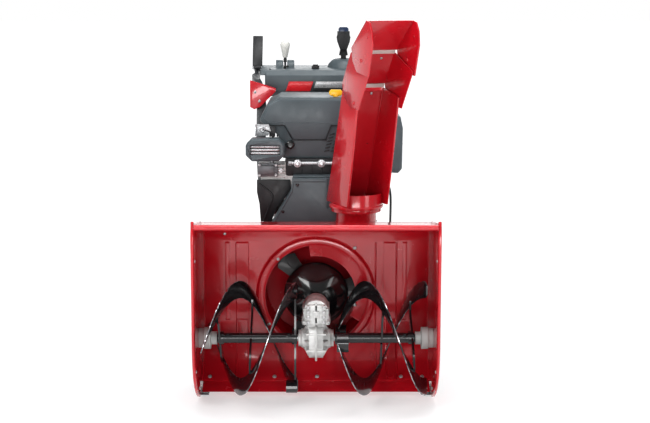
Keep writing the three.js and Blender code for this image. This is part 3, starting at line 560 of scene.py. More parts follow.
def dress_cad():
    """Gives each CAD node its slot's material and the edges that its solid doesn't have."""
    for name, obj in NODES.items():
        mesh = obj.data
        mesh.materials.clear()
        mesh.materials.append(MATERIALS[SLOT_OF[name]])
        if "custom_normal" in mesh.attributes:
            mesh.attributes.remove(mesh.attributes["custom_normal"])
        weld = obj.modifiers.new("weld", "WELD")
        weld.merge_threshold = WELD_WITHIN
        finish(obj, SOFT_EDGE.get(name, OTHER_EDGES))


dress_cad()


# ---- Auger housing ----
CORNER_R = 0.06  # of the bend between the housing's top and its back
CORNER_Z = 0.483


def housing_profile():
    """The inside of the housing's sheet from the lip round to the scraper, as (y, z) points."""
    corner = Vector((0, BACK_Y - CORNER_R, CORNER_Z))
    bend = [polar(corner, Y, Z, CORNER_R, math.radians(a)) for a in spread(80, 0, 7)]
    sweep = [polar(AUGER, Y, Z, SWEEP_R, math.radians(a)) for a in spread(0, -60, 13)]
    return [(-0.69, 0.578), (BACK_Y - 0.09, 0.544), *((p.y, p.z) for p in bend + sweep)]


@made("red_paint")
def housing_seams(bm):
    """Weld beads where the housing's sheet meets its side plates."""
    for side in (-1, 1):
        x = side * (HOUSING_HALF - 0.0008)
        tube(bm, [(x, y, z) for y, z in housing_profile()], 0.0036, 10)


@made("red_paint")
def housing_ribs(bm):
    """Pressed lines that run down the back and round under the augers."""
    wall = [(BACK_Y, 0.47), *((y, z) for y, z in housing_profile() if z < CORNER_Z - 0.001)]
    for x in (-0.255, -0.218, 0.191, 0.226, 0.258):
        tube(bm, [(x, y, z) for y, z in wall], 0.003, 10)


LIP = [(x, LIP_Y, 0.575) for x in spread(-0.3605, 0.3605, 41)]
piece("housing_lip", rods([LIP], 0.0086, 24), "red_paint")


@made("red_paint")
def mouth_bead(bm):
    """The pressed ring round the drum's mouth, drawn as one smooth rolled bead."""
    profile = [(0.164, 0.0), (0.165, -0.0072), (0.169, -0.0098), (0.178, -0.0104),
               (0.185, -0.0084), (0.189, -0.003), (0.19, 0.0005)]
    lathe_open(bm, (0, BACK_Y, IMPELLER_Z), Y, profile, 96)


def sweep_rivets(bm):
    """A row low on the curved floor, each square to the sheet."""
    height = 0.051 - AUGER.z
    angle = math.asin(height / SWEEP_R)
    out = -around(Y, Z, angle)
    for x in (-0.132, 0.003, 0.27, 0.338, -0.338):
        rivet(bm, AUGER + X * x - out * SWEEP_R, out, 0.0068)


def back_rivets(bm):
    """Those within the pressed ring stand on it, and the others on the sheet."""
    ring_outer = 0.19
    ring_rise = 0.0075
    for x, z in ((0.124, 0.452), (0.124, 0.268), (-0.122, 0.418), (-0.292, 0.5), (-0.15, 0.205)):
        rise = ring_rise if math.hypot(x, z - IMPELLER_Z) < ring_outer else 0
        rivet(bm, (x, BACK_Y - rise, z), -Y, 0.0062)


@made("zinc_steel")
def housing_bolts(bm):
    sweep_rivets(bm)
    back_rivets(bm)
    for side in (-1, 1):
        for y, z in ((-0.672, 0.47), (-0.672, 0.13), (-0.56, 0.045), (-0.5, 0.54)):
            rivet(bm, (side * HOUSING_HALF, y, z), -X * side, 0.005)


@made("black_paint")
def side_plate_bolts(bm):
    bearing_bolts = 0.027  # radius of their circle
    for side in (-1, 1):
        outer = X * side * (HOUSING_HALF + PLATE)
        for angle in turns(3, 90):
            bolt(bm, polar(AUGER + outer, Y, Z, bearing_bolts, angle), X * side, 0.0055)
        for y, z in ((-0.64, 0.52), (-0.42, 0.44), (-0.4, 0.2), (-0.62, 0.11)):
            bolt(bm, (outer.x, y, z), X * side, 0.0052, 15)


@made("black_plastic", bevel=0.0012)
def side_bumpers(bm):
    """Small dark guards half-way up each side plate's front edge."""
    for side in (-1, 1):
        block(bm, (side * 0.3655, -0.69, 0.42), (side * 0.3708, -0.65, 0.47))


# ---- Augers ----
def ribbon_ends(side):
    """The x of the inner and the outer end of an auger's ribbons."""
    return (-0.058, -0.342) if side < 0 else (0.062, 0.342)


RIBBON_MIDDLE = 0.149
RIBBON_HALF = 0.0026
RIBBON_STEPS = 110
RIBBON_SECTION = [
    (RIBBON_IN, -0.5), (RIBBON_IN + 0.003, -1), (RIBBON_MIDDLE, -1.15), (AUGER_R - 0.003, -1),
    (RIBBON_OUT, -0.5), (RIBBON_OUT, 0.5), (AUGER_R - 0.003, 1), (RIBBON_MIDDLE, 0.85),
    (RIBBON_IN + 0.003, 1), (RIBBON_IN, 0.5),
]
RIBBON_WEAR = {4: 1.0, 5: 1.0, 0: 0.82, 9: 0.82, 3: 0.45, 6: 0.45}  # by point of the section


def ribbon_angle(side, x):
    """The angle of the first ribbon at x: 0 is the front, 90 degrees the top."""
    start = -0.248 if side < 0 else 0.165
    return math.pi / 2 - side * (x - start) / RIBBON_PITCH * 2 * math.pi


def auger_point(x, radius, angle):
    return Vector((x, AUGER.y - radius * math.cos(angle), AUGER.z + radius * math.sin(angle)))


def ribbon(bm, side, phase, edge):
    """A helical blade with trimmed ends, and a few notches in its outer edge."""
    near, far = ribbon_ends(side)
    rings = []
    for i in range(RIBBON_STEPS + 1):
        u = i / RIBBON_STEPS
        x = near + (far - near) * u
        angle = ribbon_angle(side, x) + phase
        trim = 0.014 * max(0, 1 - min(u, 1 - u) / 0.02) ** 2
        notch = 0.0035 * max(0, math.sin(i * 1.4)) if 0.72 < u < 0.97 else 0
        rings.append([
            auger_point(x + through * RIBBON_HALF,
                        r - trim - notch if r > RIBBON_MIDDLE else r + trim * 0.6, angle)
            for r, through in RIBBON_SECTION
        ])
    for ring in loft(bm, rings):
        for k, wear in RIBBON_WEAR.items():
            ring[k][edge] = wear


def ribbon_arm(bm, side, phase, x):
    """A flat bar that leans a little on its way from the tube to the ribbon."""
    steps = 8
    root, tip = 0.012, RIBBON_IN + 0.006
    half_width, half_width_at_tip, half_thickness = 0.016, 0.02, 0.003
    lean = 0.16
    angle = ribbon_angle(side, x) + phase
    rings = []
    for s in range(steps + 1):
        r = root + (tip - root) * s / steps
        turn = angle + lean * math.sin(math.pi * s / steps)
        centre = auger_point(x, r, turn)
        along = (auger_point(x, r, turn + 0.01) - centre).normalized()
        w = half_width if s < steps else half_width_at_tip
        rings.append([centre + along * a * w + X * b * half_thickness
                      for a, b in ((-1, -1), (1, -1), (1, 1), (-1, 1))])
    loft(bm, rings)


FOOT_WEAR = 0.35


def ribbon_foot(bm, side, phase, edge):
    """The broad paddle at a ribbon's inner end, thickest at its middle."""
    near, _ = ribbon_ends(side)
    middle, width, steps = 0.152, 0.034, 8
    start = ribbon_angle(side, near) + phase - 0.2
    rings = []
    for k in range(steps + 1):
        turn = start + 0.34 * k / steps
        thick = 0.004 + 0.016 * math.sin(math.pi * k / steps)
        rings.append([auger_point(near + side * x, middle + r, turn) for x, r in (
            (0, -thick), (width, -thick), (width, thick), (0, thick))])
    for ring in loft(bm, rings):
        ring[2][edge] = ring[3][edge] = FOOT_WEAR


def auger(side):
    near, far = ribbon_ends(side)

    def build(bm):
        edge = bm.verts.layers.float.new("edge")
        for phase in (0, math.pi):
            ribbon(bm, side, phase, edge)
        for phase in (0, math.pi):
            for x in (near + side * 0.006, (near + far) / 2, side * 0.296):
                ribbon_arm(bm, side, phase, x)
            ribbon_foot(bm, side, phase, edge)
        tube(bm, [(side * x, AUGER.y, AUGER.z) for x in spread(0.06, 0.302, 13)], TUBE_R, 28)
        for x in (0.066, 0.292):
            lathe(bm, AUGER + X * side * x, X * side,
                  [(TUBE_R, -0.008), (0.0205, -0.008), (0.0205, 0.008), (TUBE_R, 0.008)], 28)
    return build


for end, side in SIDES:
    piece(f"auger_ribbon_{end}", auger(side), "auger_paint", "augers", replaces=[f"auger_{end}"],
          angle=40)


@made("auger_paint", "augers")
def shear_bolts(bm):
    """A bolt through each end of both tubes, its nut and thread on the other side."""
    out = Vector((0, -0.8, 0.6))
    for side in (-1, 1):
        for x in (0.084, 0.272):
            at = AUGER + X * side * x
            bolt(bm, at + out * 0.0155, out, 0.0055)
            tube(bm, [at - out * 0.015, at - out * 0.0235], 0.004, 12)


# ---- Gearbox ----
FLANGE_BOLTS = [(side * 0.034, AUGER.y + y) for side in (-1, 1) for y in (-0.034, 0.034)]


def gearbox_rim(bm):
    """The seam round the wheel housing's front, and the rib above it."""
    inner, outer, half = 0.0625, 0.0715, 0.0035
    angles = [math.radians(a) for a in spread(150, 390, 25)]
    outline = [(inner * math.cos(a), inner * math.sin(a)) for a in angles]
    outline += [(outer * math.cos(a), outer * math.sin(a)) for a in reversed(angles)]
    slab(bm, outline, AUGER - X * half, Y, Z, 2 * half)
    block(bm, (-half, AUGER.y - 0.06, 0.268), (half, AUGER.y - 0.052, 0.33))


def gearbox_flange(bm, z, inner, outer):
    """A ledge across the front and along both sides."""
    front, half = AUGER.y - 0.057, 0.0025
    block(bm, (-outer, front, z - half), (outer, AUGER.y - 0.048, z + half))
    for side in (-1, 1):
        block(bm, (side * inner, front, z - half), (side * outer, AUGER.y + 0.04, z + half))


def gearbox_side(bm, side):
    """A hub round the auger's shaft and five webs that run down from it."""
    lathe(bm, AUGER + X * side * 0.03, X * side,
          [(0.03, 0), (0.03, 0.014), (0.025, 0.018), (0.017, 0.0185)], 32)
    root = AUGER + X * side * 0.022
    for degrees in spread(100, 260, 5):
        out = around(Y, Z, math.radians(degrees))
        half = out.cross(X * side).normalized() * 0.0026
        rings = []
        for reach, height in ((0.03, 0.016), (0.056, 0.002)):
            foot = root + out * reach
            lift = X * side * height
            rings.append([foot - half, foot + half, foot + half + lift, foot - half + lift])
        loft(bm, rings)


@made("cast_aluminium", bevel=0.001)
def gearbox_ribs(bm):
    """Webs, flanges and bosses cast on the gearbox."""
    gearbox_rim(bm)
    gearbox_flange(bm, IMPELLER_Z - 0.027, 0.04, 0.044)
    gearbox_flange(bm, IMPELLER_Z + 0.012, 0.0365, 0.041)
    for side in (-1, 1):
        gearbox_side(bm, side)
    for x, y in FLANGE_BOLTS:
        lathe(bm, (x, y, IMPELLER_Z - 0.04), Z, [(0.0085, 0), (0.0085, 0.026), (0.0075, 0.028)], 18)


WORM_BOLTS_X = 0.0235
WORM_BOLTS_Z = (0.272, 0.288, 0.304, 0.318)


@made("cast_aluminium", bevel=0.0012)
def gearbox_front(bm):
    """The bolted cover on the worm housing's front, and two ledges below it."""
    front = AUGER.y - 0.056
    cover = front - 0.004
    block(bm, (-0.029, cover, 0.266), (0.029, AUGER.y - 0.047, 0.324))
    block(bm, (-0.01, front - 0.01, 0.286), (0.01, cover, 0.306))
    for side in (-1, 1):
        for z in WORM_BOLTS_Z:
            lathe(bm, (side * WORM_BOLTS_X, front - 0.003, z), -Y,
                  [(0.0062, 0), (0.0062, 0.005), (0.0052, 0.006)], 16)
    for z in (0.18, 0.232):
        block(bm, (-0.03, AUGER.y - 0.058, z - 0.003), (0.03, AUGER.y - 0.04, z + 0.003))


@made("steel")
def gearbox_bolts(bm):
    for side in (-1, 1):
        for z in WORM_BOLTS_Z:
            bolt(bm, (side * WORM_BOLTS_X, AUGER.y - 0.0648, z), -Y, 0.0034)
        for angle in turns(4, 45):
            bolt(bm, polar(AUGER + X * side * 0.0385, Y, Z, 0.027, angle), X * side, 0.0035)
    for x, y in FLANGE_BOLTS:
        bolt(bm, (x, y, IMPELLER_Z - 0.012), Z, 0.0055)
    lathe(bm, (0, AUGER.y - 0.056, IMPELLER_Z), -Y,
          [(0.011, 0), (0.011, 0.003), (0.009, 0.0045), (0.004, 0.0045)], 18)


# ---- Impeller and drum ----
SHAFT_BORE = 0.0098


@made("black_paint", "impeller", DOME_ENAMEL, angle=50, replaces=["impeller"])
def impeller_dome(bm):
    """A smooth spun cone over the impeller's hub."""
    start = BACK_Y - 0.03
    lathe(bm, (0, 0, IMPELLER_Z), Y, [
        (SHAFT_BORE, start - 0.01), (0.016, start - 0.01), (0.018, start - 0.002),
        (0.028, start + 0.001), (0.056, start + 0.015), (0.084, start + 0.029),
        (0.099, start + 0.038), (0.104, start + 0.043), (0.104, start + 0.048),
        (0.096, start + 0.046), (0.026, start + 0.014), (SHAFT_BORE, start + 0.012),
    ], 96)


BLADE_TURNS = turns(3, 15)
BLADE_FRONT, BLADE_BACK = -0.356, -0.24
BLADE_PATH = [(0.022, 0.0), (0.06, -0.004), (0.104, -0.007), (0.136, -0.007), (0.146, -0.013),
              (0.152, -0.022)]
BLADE_FLANGE = [(0.07, -0.028), (0.142, -0.044), (0.158, -0.022), (0.159, 0.012), (0.148, 0.026),
                (0.07, 0.014)]


@made("black_paint", "impeller", BLADE_ENAMEL, bevel=0.0006)
def impeller_blades(bm):
    """Three paddles with folded tips and stiffening flanges."""
    centre = Vector((0, BLADE_FRONT, IMPELLER_Z))
    back = [(r - 0.0005, s + 0.0035) for r, s in reversed(BLADE_PATH)]
    flange_lean = 0.35
    for turn in BLADE_TURNS:
        radial = around(X, Z, turn)
        side = around(Z, -X, turn)
        slab(bm, BLADE_PATH + back, centre, radial, side, BLADE_FRONT - BLADE_BACK)
        slab(bm, BLADE_FLANGE, centre + Y * 0.004, radial, side + Y * flange_lean * side.z, -0.003)


@made("black_paint", "impeller", BLADE_ENAMEL)
def impeller_bolts(bm):
    """Two bolts through each blade's root, and the nut on the shaft's end."""
    for turn in BLADE_TURNS:
        out = around(-Z, X, turn)
        for r in (0.12, 0.138):
            bolt(bm, polar((0, -0.3, IMPELLER_Z), X, Z, r, turn) + out * 0.0072, out, 0.005)
    lathe(bm, (0, BACK_Y - 0.038, IMPELLER_Z), -Y, [(0.014, 0), (0.014, 0.004), (SHAFT_BORE, 0.006)],
          24)


@made("red_paint")
def collar_bolts(bm):
    """Ten rivets round the chute's collar."""
    for i in range(10):
        out = around(X, Y, math.radians(200 + 34 * i))
        rivet(bm, NECK + Z * 0.568 + out * 0.0815, out, 0.0042)


@made("red_paint")
def neck_welds(bm):
    """Seams where the drum's spout meets its wall."""
    lathe_open(bm, NECK + Z * 0.52, Z,
               [(0.0655, 0), (0.0685, 0.002), (0.069, 0.005), (0.0685, 0.008), (0.0655, 0.01)], 64)
    lathe_open(bm, (0, -0.24, IMPELLER_Z), Y,
               [(0.1675, 0), (0.171, 0.002), (0.1715, 0.006), (0.171, 0.01), (0.1675, 0.012)], 96)


# ---- Chute: drawn in its own frame, where it throws towards -Y ----
def mirrored(half, points):
    """A path given as (y, z) points, on both sides of the channel."""
    return [[(side * half, y, z) for y, z in points] for side in (-1, 1)]


def chute_edges():
    """Rolled hems down the front edges of the channel's two walls."""
    path = smooth_path([(-0.08, 0.001, 0), (-0.118, 0.175, 0), (-0.1515, 0.349, 0)], 8)
    return mirrored(CHUTE_HALF - 0.0012, [(p.x, p.y) for p in path])


piece("chute_hems", rods(chute_edges(), 0.003, 10), "red_paint", "chute")


def fold_lines():
    """The two bends where the channel's back meets its walls."""
    low, middle, high = Vector((0.0675, 0.004)), Vector((0.018, 0.157)), Vector((-0.0495, 0.372))
    half = CHUTE_HALF - WALL - 0.0004
    return [
        path
        for start, end in ((low, middle), (middle, high))
        for path in mirrored(half, [tuple(start.lerp(end, t)) for t in spread(0, 1, 13)])
    ]


piece("chute_folds", rods(fold_lines(), 0.0022, 8), "red_paint", "chute")


@made("black_paint", "chute", bevel=0.0006)
def chute_tie_bar(bm):
    """The rod that carries the deflector's cable stop, behind the channel."""
    y, z = 0.0125, 0.2
    tube(bm, [(x, y, z) for x in spread(-0.06, 0.06, 9)], 0.004, 12)
    for x in (-0.045, 0.045):
        block(bm, (x - 0.003, 0.0095, z - 0.012), (x + 0.003, 0.017, z + 0.012))


LOWER_HALF = 0.0752  # of the two deflectors, out to their hems
LOWER_HEM = [(-0.118, 0.485), (-0.18, 0.4565), (-0.232, 0.4325)]
piece("lower_deflector_hems", rods(mirrored(LOWER_HALF, LOWER_HEM), 0.0026, 10), "red_paint",
      "deflector_lower")
UPPER_HALF = 0.0797
UPPER_HEM = [(-0.236, 0.422), (-0.2625, 0.515), (-0.2585, 0.556), (-0.2435, 0.5825)]
piece("upper_deflector_hems", rods(mirrored(UPPER_HALF, UPPER_HEM), 0.0026, 10), "red_paint",
      "deflector_upper")
LOWER_GAP = (-0.0545, 0.3815, math.radians(23), 0.07)  # y, z, slope and half the width


def gap_strip(y, z, slope, half):
    """A pale ribbed strip that closes the gap between two back panels."""
    width, thickness = 0.0135, 0.0016
    rib_reach, ribs = 0.0045, 9

    def build(bm):
        up = Vector((0, -math.sin(slope), math.cos(slope)))
        out = Vector((0, -math.cos(slope), -math.sin(slope)))
        centre = Vector((0, y, z))
        slab(bm, rounded(2 * half, width, 0.002, 3), centre, X, up, thickness)
        for i in range(ribs):
            at = centre + out * 0.0006 + X * (half * (i - 4) / 5)
            tube(bm, [at - up * rib_reach, at + up * rib_reach], 0.0011, 8)
    return build


piece("lower_gap_strip", gap_strip(*LOWER_GAP), "pale_plastic", "chute", bevel=0.0004)
UPPER_GAP = (-0.1215, 0.4905, math.radians(36), 0.0722)
piece("upper_gap_strip", gap_strip(*UPPER_GAP), "pale_plastic", "deflector_upper", bevel=0.0004)


def strip_rivets(y, z, slope, half):
    def build(bm):
        out = Vector((0, -math.cos(slope), -math.sin(slope)))
        for x in (-half, half):
            rivet(bm, Vector((x, y, z)) + out * 0.0004, out, 0.0046)
    return build


piece("lower_strip_rivets", strip_rivets(-0.045, 0.356, math.radians(17), 0.03), "zinc_steel",
      "chute")
piece("upper_strip_rivets", strip_rivets(-0.103, 0.47, math.radians(31), 0.034), "zinc_steel",
      "deflector_lower")


def pivot_rivets(half, places):
    """A rivet head on both faces of each wall, at (y, z, radius)."""
    def build(bm):
        for side in (-1, 1):
            for y, z, radius in places:
                rivet(bm, (side * half, y, z), X * side, radius)
                rivet(bm, (side * (half - WALL), y, z), -X * side, radius)
    return build


piece("lower_pivots", pivot_rivets(0.0765, [(-0.132, 0.335, 0.0056)]), "red_paint",
      "deflector_lower")
piece("upper_pivots", pivot_rivets(0.081, [(-0.189, 0.468, 0.0056), (-0.232, 0.54, 0.004)]),
      "red_paint", "deflector_upper")


@made("red_paint", "chute", bevel=0.0004)
def ring_teeth(bm):
    """The toothed underside that the chute's drive turns."""
    root, depth = 0.0792, 0.006
    for angle in turns(44):
        out = around(X, Y, angle)
        side = around(Y, -X, angle)
        rings = []
        for z, half in ((-0.0118, 0.0016), (-0.0048, 0.0034)):
            at = out * root + Z * z
            rings.append([at + side * half, at - side * half, at - side * half + out * depth,
                          at + side * half + out * depth])
        loft(bm, rings)


# ---- Engine's front ----
COVER_LINE_Y = -0.1412
COVER_TOP_LINE = [(x, COVER_LINE_Y - 0.0004, 0.832) for x in spread(-0.15, 0.184, 13)]
piece("cover_seam", rods([COVER_TOP_LINE], 0.0012, 8), "charcoal_plastic")


@made("black_plastic", bevel=0.0008)
def painted_shade_plate(bm):
    """A dark plate with ribs behind the brace bar: painted shade that stands in for the shadowed gap
    under the bar.
    """
    z = 0.6835
    slab(bm, rounded(0.18, 0.058, 0.008, 4, (-0.012, z)), (0, -0.1455, 0), X, Z, 0.004)
    for x in spread(-0.082, 0.054, 5):
        slab(bm, rounded(0.005, 0.05, 0.002, 3, (x, z)), (0, -0.149, 0), X, Z, 0.002)


CHEVRON = smooth_path([(x, COVER_LINE_Y, z) for x, z in (
    (-0.166, 0.823), (-0.125, 0.823), (-0.106, 0.8215), (-0.0795, 0.777), (-0.072, 0.7745),
    (0.026, 0.7745), (0.0325, 0.777), (0.051, 0.8215), (0.06, 0.823), (0.185, 0.823),
)], 5)
piece("cover_chevron", rods([CHEVRON], 0.0016, 8), "black_plastic")


def slanted_vents():
    """Slots in two columns that lean with the cover's chevron."""
    return [
        [(x + p, z + q + p * 0.25) for p, q in rounded(0.018, 0.005, 0.0024, 3)]
        for x, z in (
            (0.036 + 0.022 * column + 0.0035 * row, 0.738 + 0.011 * row)
            for row in range(6) for column in range(2)
        )
    ]


piece("cover_vents", pads(slanted_vents(), (0, -0.1372, 0), X, Z, 0.0014), "black_plastic",
      bevel=0.0004)


@made("black_paint")
def cover_knob(bm):
    lathe(bm, (-0.086, -0.1362, 0.758), -Y,
          [(0.0145, 0), (0.015, 0.004), (0.013, 0.009), (0.009, 0.0105), (0.0075, 0.0088),
           (0, 0.0085)], 32)


BRACE_Y = -0.1535
BRACE_EYES = (-0.062, 0.018)


@made("zinc_steel")
def brace_bar(bm):
    """A bright link across the engine's front, with two eyes and a nut at each end."""
    tube(bm, [(x, BRACE_Y, BRACE_Z) for x in spread(-0.086, 0.064, 21)], 0.0058, 16)
    for x in BRACE_EYES:
        lathe(bm, (x, BRACE_Y + 0.006, BRACE_Z), -Y,
              [(0.0125, 0), (0.0135, 0.002), (0.0135, 0.012), (0.012, 0.0145), (0.007, 0.015),
               (0.006, 0.0135)], 28)
    for x in (-0.088, 0.066):
        lathe(bm, (x, BRACE_Y, BRACE_Z), X,
              [(0.0075, -0.006), (0.0085, -0.004), (0.0085, 0.004), (0.0075, 0.006)], 6)


@made("steel")
def brace_bolts(bm):
    for x in BRACE_EYES:
        bolt(bm, (x, BRACE_Y - 0.0085, BRACE_Z), -Y, 0.006)


GUARD_INSIDE = rounded(0.108, 0.05, 0.006, 3, (GUARD_X, 0.7475))
piece("guard_backing", pads([GUARD_INSIDE], (0, -0.201, 0), X, Z, 0.0015), "black_plastic")


def guard_louvres():
    """The paths of the bright bars across the muffler guard's opening."""
    half, inner_half = 0.048, 0.037
    return [
        smooth_path([(GUARD_X - half, -0.204, z), (GUARD_X - inner_half, -0.2075, z),
                     (GUARD_X, -0.2085, z), (GUARD_X + inner_half, -0.2075, z),
                     (GUARD_X + half, -0.204, z)], 5)
        for z in (0.7375, 0.748, 0.7585)
    ]


piece("guard_grille", rods(guard_louvres(), 0.0041, 12), "zinc_steel")
HEAD_BOLTS = ((-0.1895, 0.658), (-0.1895, 0.692), (-0.134, 0.658), (-0.134, 0.692))


@made("dark_alloy", bevel=0.0016)
def cylinder_head(bm):
    """The rocker cover beside the muffler, and its bolts' bosses."""
    block(bm, (-0.1955, -0.1535, 0.652), (-0.128, -0.1485, 0.698))
    block(bm, (-0.193, -0.16, 0.66), (-0.14, -0.153, 0.69))
    for x, z in HEAD_BOLTS:
        lathe(bm, (x, -0.148, z), -Y, [(0.0055, 0), (0.0055, 0.008), (0.0048, 0.0092)], 16)


@made("zinc_steel")
def head_bolts(bm):
    """The rocker cover's bolts, and the spark plug."""
    for x, z in HEAD_BOLTS:
        bolt(bm, (x, -0.157, z), -Y, 0.0038)
    lathe(bm, (-0.118, -0.15, 0.676), -Y,
          [(0.0045, 0), (0.0045, 0.014), (0.007, 0.014), (0.007, 0.02), (0.003, 0.02),
           (0.003, 0.03)], 18)


@made("zinc_steel", bevel=0.0006)
def lever_bracket(bm):
    """A plated bracket above the guard, with an eye and a folded tab."""
    left, low, high = -0.203, 0.79, 0.828
    outline = [(left, low), (-0.16, low), (-0.15, 0.806), (-0.158, high), (left, high)]
    slab(bm, outline, (0, -0.15, 0), X, Z, 0.0025)
    block(bm, (left, -0.166, low), (-0.1995, -0.15, high))
    lathe(bm, (-0.178, -0.1525, 0.811), -Y,
          [(0.01, 0), (0.011, 0.002), (0.011, 0.006), (0.007, 0.008), (0.005, 0.006)], 24)


@made("black_plastic", bevel=0.0008)
def lever_rod(bm):
    tube(bm, smooth_path([(-0.178, -0.158, 0.811), (-0.15, -0.16, 0.8), (-0.14, -0.158, 0.77),
                          (-0.132, -0.15, 0.76)], 6), 0.0026, 10)
    block(bm, (-0.156, -0.152, 0.786), (-0.136, -0.146, 0.822))


@made("black_plastic", bevel=0.0012)
def engine_plate(bm):
    """The dark plate and hose below the cylinder, which run down beside the belt cover."""
    outline = [(-0.198, 0.642), (-0.086, 0.642), (-0.084, 0.606), (-0.132, 0.548), (-0.15, 0.5),
               (-0.186, 0.5), (-0.19, 0.56), (-0.198, 0.6)]
    slab(bm, outline, (0, -0.153, 0), X, Z, 0.004)
    tube(bm, smooth_path([(-0.19, -0.158, 0.63), (-0.146, -0.159, 0.59), (-0.16, -0.158, 0.545),
                          (-0.176, -0.158, 0.505)], 6), 0.0028, 10)


@made("charcoal_plastic", bevel=0.0008)
def belt_cover_trim(bm):
    """A raised rib round the belt cover's front and the ledge over it."""
    path = [(-0.146, 0.452), (-0.144, 0.5), (-0.08, 0.61), (-0.073, 0.646), (0.03, 0.646)]
    tube(bm, [(x, -0.2212, z) for x, z in path], 0.0024, 8)
    block(bm, (-0.076, -0.205, 0.656), (0.06, -0.15, 0.66))


@made("black_paint")
def belt_cover_screws(bm):
    for x, z in ((-0.128, 0.47), (-0.11, 0.545), (-0.062, 0.634)):
        bolt(bm, (x, -0.2218, z), -Y, 0.0042)


TANK_SEAM_Z = 0.745


@made("charcoal_plastic", bevel=0.0008)
def tank_seam(bm):
    """The welded seam and moulded feet of the fuel tank."""
    front, rear, left, right = -0.0204, 0.1904, 0.1906, 0.2994
    outline = [(right - 0.0035, front + 0.006), (right - 0.001, front + 0.03),
               (right - 0.001, rear - 0.03), (right - 0.0035, rear - 0.006)]
    tube(bm, [(x, y, TANK_SEAM_Z) for x, y in outline], 0.0022, 8)
    tube(bm, [(x, front + 0.003, TANK_SEAM_Z) for x in (left + 0.012, right - 0.02)], 0.0022, 8)
    for y in (0.01, 0.12):
        block(bm, (0.186, y, 0.69), (0.1915, y + 0.04, 0.72))


FUEL_CAP = Vector((0.244, 0.11, 0.866))


def cap_ridges():
    """Upright bars round the fuel cap, for its grip."""
    return [
        [polar(FUEL_CAP + Z * rise, X, Y, 0.0325, angle) for rise in (-0.007, 0, 0.007)]
        for angle in turns(30)
    ]


piece("fuel_cap_grip", rods(cap_ridges(), 0.0022, 8), "black_plastic", "fuel_cap")


# ---- Engine's rear: recoil starter and controls ----
@made("dark_alloy", bevel=0.0003)
def recoil_vents(bm):
    """Slots round the recoil starter's face, and a cap at its middle."""
    centre = Vector((0, 0.15, CRANK_Z))
    slot = rounded(0.026, 0.0034, 0.0016, 3)
    for angle in turns(24):
        out = around(X, Z, angle)
        side = around(Z, -X, angle)
        slab(bm, slot, centre + out * 0.04, out, side, 0.0012)
    lathe(bm, centre, Y, [(0.018, -0.001), (0.018, 0.002), (0.012, 0.0035), (0, 0.0035)], 32)


@made("zinc_steel")
def recoil_bolts(bm):
    for angle in turns(4, 45):
        bolt(bm, polar((0, 0.1428, CRANK_Z), X, Z, 0.088, angle), Y, 0.005)


CONTROL_RINGS = (  # x and profile of the raised ring round each control
    (0.12, [(0.0165, 0), (0.0165, 0.003), (0.019, 0.0035), (0.0205, 0.002), (0.0205, 0)]),
    (0.0, [(0.0065, 0), (0.0065, 0.004), (0.012, 0.0045), (0.0135, 0.003), (0.0135, 0)]),
    (0.06, [(0.0178, 0), (0.0178, 0.002), (0.0215, 0.0025), (0.0225, 0.001), (0.0225, 0)]),
)


@made("black_plastic")
def rear_trim(bm):
    """Raised frames round the engine's rear controls and their panel."""
    for x, profile in CONTROL_RINGS:
        lathe_open(bm, (x, COVER_REAR + 0.0002, PANEL_Z), Y, profile, 40)
    frame_line = [(x, COVER_REAR + 0.0004, z)
                  for x, z in rounded(0.2, 0.074, 0.014, 6, (0.06, PANEL_Z))]
    tube(bm, [*frame_line, frame_line[0]], 0.0016, 8)


REAR_SLOTS = [rounded(0.0052, 0.07, 0.0024, 3, (x, 0.79)) for x in spread(-0.15, -0.05, 9)]
piece("rear_vents", pads(REAR_SLOTS, (0, COVER_REAR + 0.0002, 0), X, Z, -0.001), "black_plastic",
      bevel=0.0003)
SIDE_SLOTS = [rounded(0.006, 0.07, 0.0028, 3, (y, 0.775)) for y in spread(-0.06, 0.075, 10)]
piece("side_vents", pads(SIDE_SLOTS, (0.1881, 0, 0), Y, Z, 0.0009), "black_plastic", bevel=0.0003)


@made("zinc_steel")
def starter_motor(bm):
    """End caps, a middle band and a solenoid on the electric starter."""
    y = -0.02
    for low, high in ((0.4985, 0.508), (0.56, 0.566), (0.62, 0.6295)):
        height = high - low
        lathe(bm, (-0.1356, y, low), Z,
              [(0.0295, 0), (0.031, 0.001), (0.031, height - 0.001), (0.0295, height)], 40)
    lathe(bm, (-0.17, y, 0.525), Z, [(0.012, 0), (0.013, 0.002), (0.013, 0.06), (0.012, 0.062)], 28)


@made("cast_aluminium", bevel=0.001)
def block_ribs(bm):
    """Ribs on the crankcase's sides."""
    for side in (-1, 1):
        for y in spread(-0.125, 0.051, 5):
            block(bm, (side * 0.1052, y, 0.47), (side * 0.1088, y + 0.006, 0.628))


# ---- Console, handles and grips ----
BADGE_AT = Vector((0, 0.3172, 0.906))
BADGE_UP = Vector((0, -0.004, 0.062)).normalized()  # along the console's sloping front
BADGE_SKEW = 0.35


def badge(left, right, bottom, top):
    """A slim raised band on the console's front, with no lettering."""
    thickness = 0.0022

    def build(bm):
        low = BADGE_AT + BADGE_UP * (bottom - BADGE_AT.z)
        high = BADGE_AT + BADGE_UP * (top - BADGE_AT.z) + X * BADGE_SKEW * (top - bottom)
        section = [low, high, high - Y * thickness, low - Y * thickness]
        loft(bm, [[p + X * x for p in section] for x in spread(left, right, 15)])
    return build


piece("badge_red", badge(-0.112, -0.022, 0.904, 0.94), "red_plastic", bevel=0.0005)
piece("badge_dark", badge(-0.014, 0.156, 0.904, 0.9155), "black_plastic", bevel=0.0005)
piece("badge_silver", badge(-0.008, 0.168, 0.9165, 0.94), "zinc_steel", bevel=0.0005)


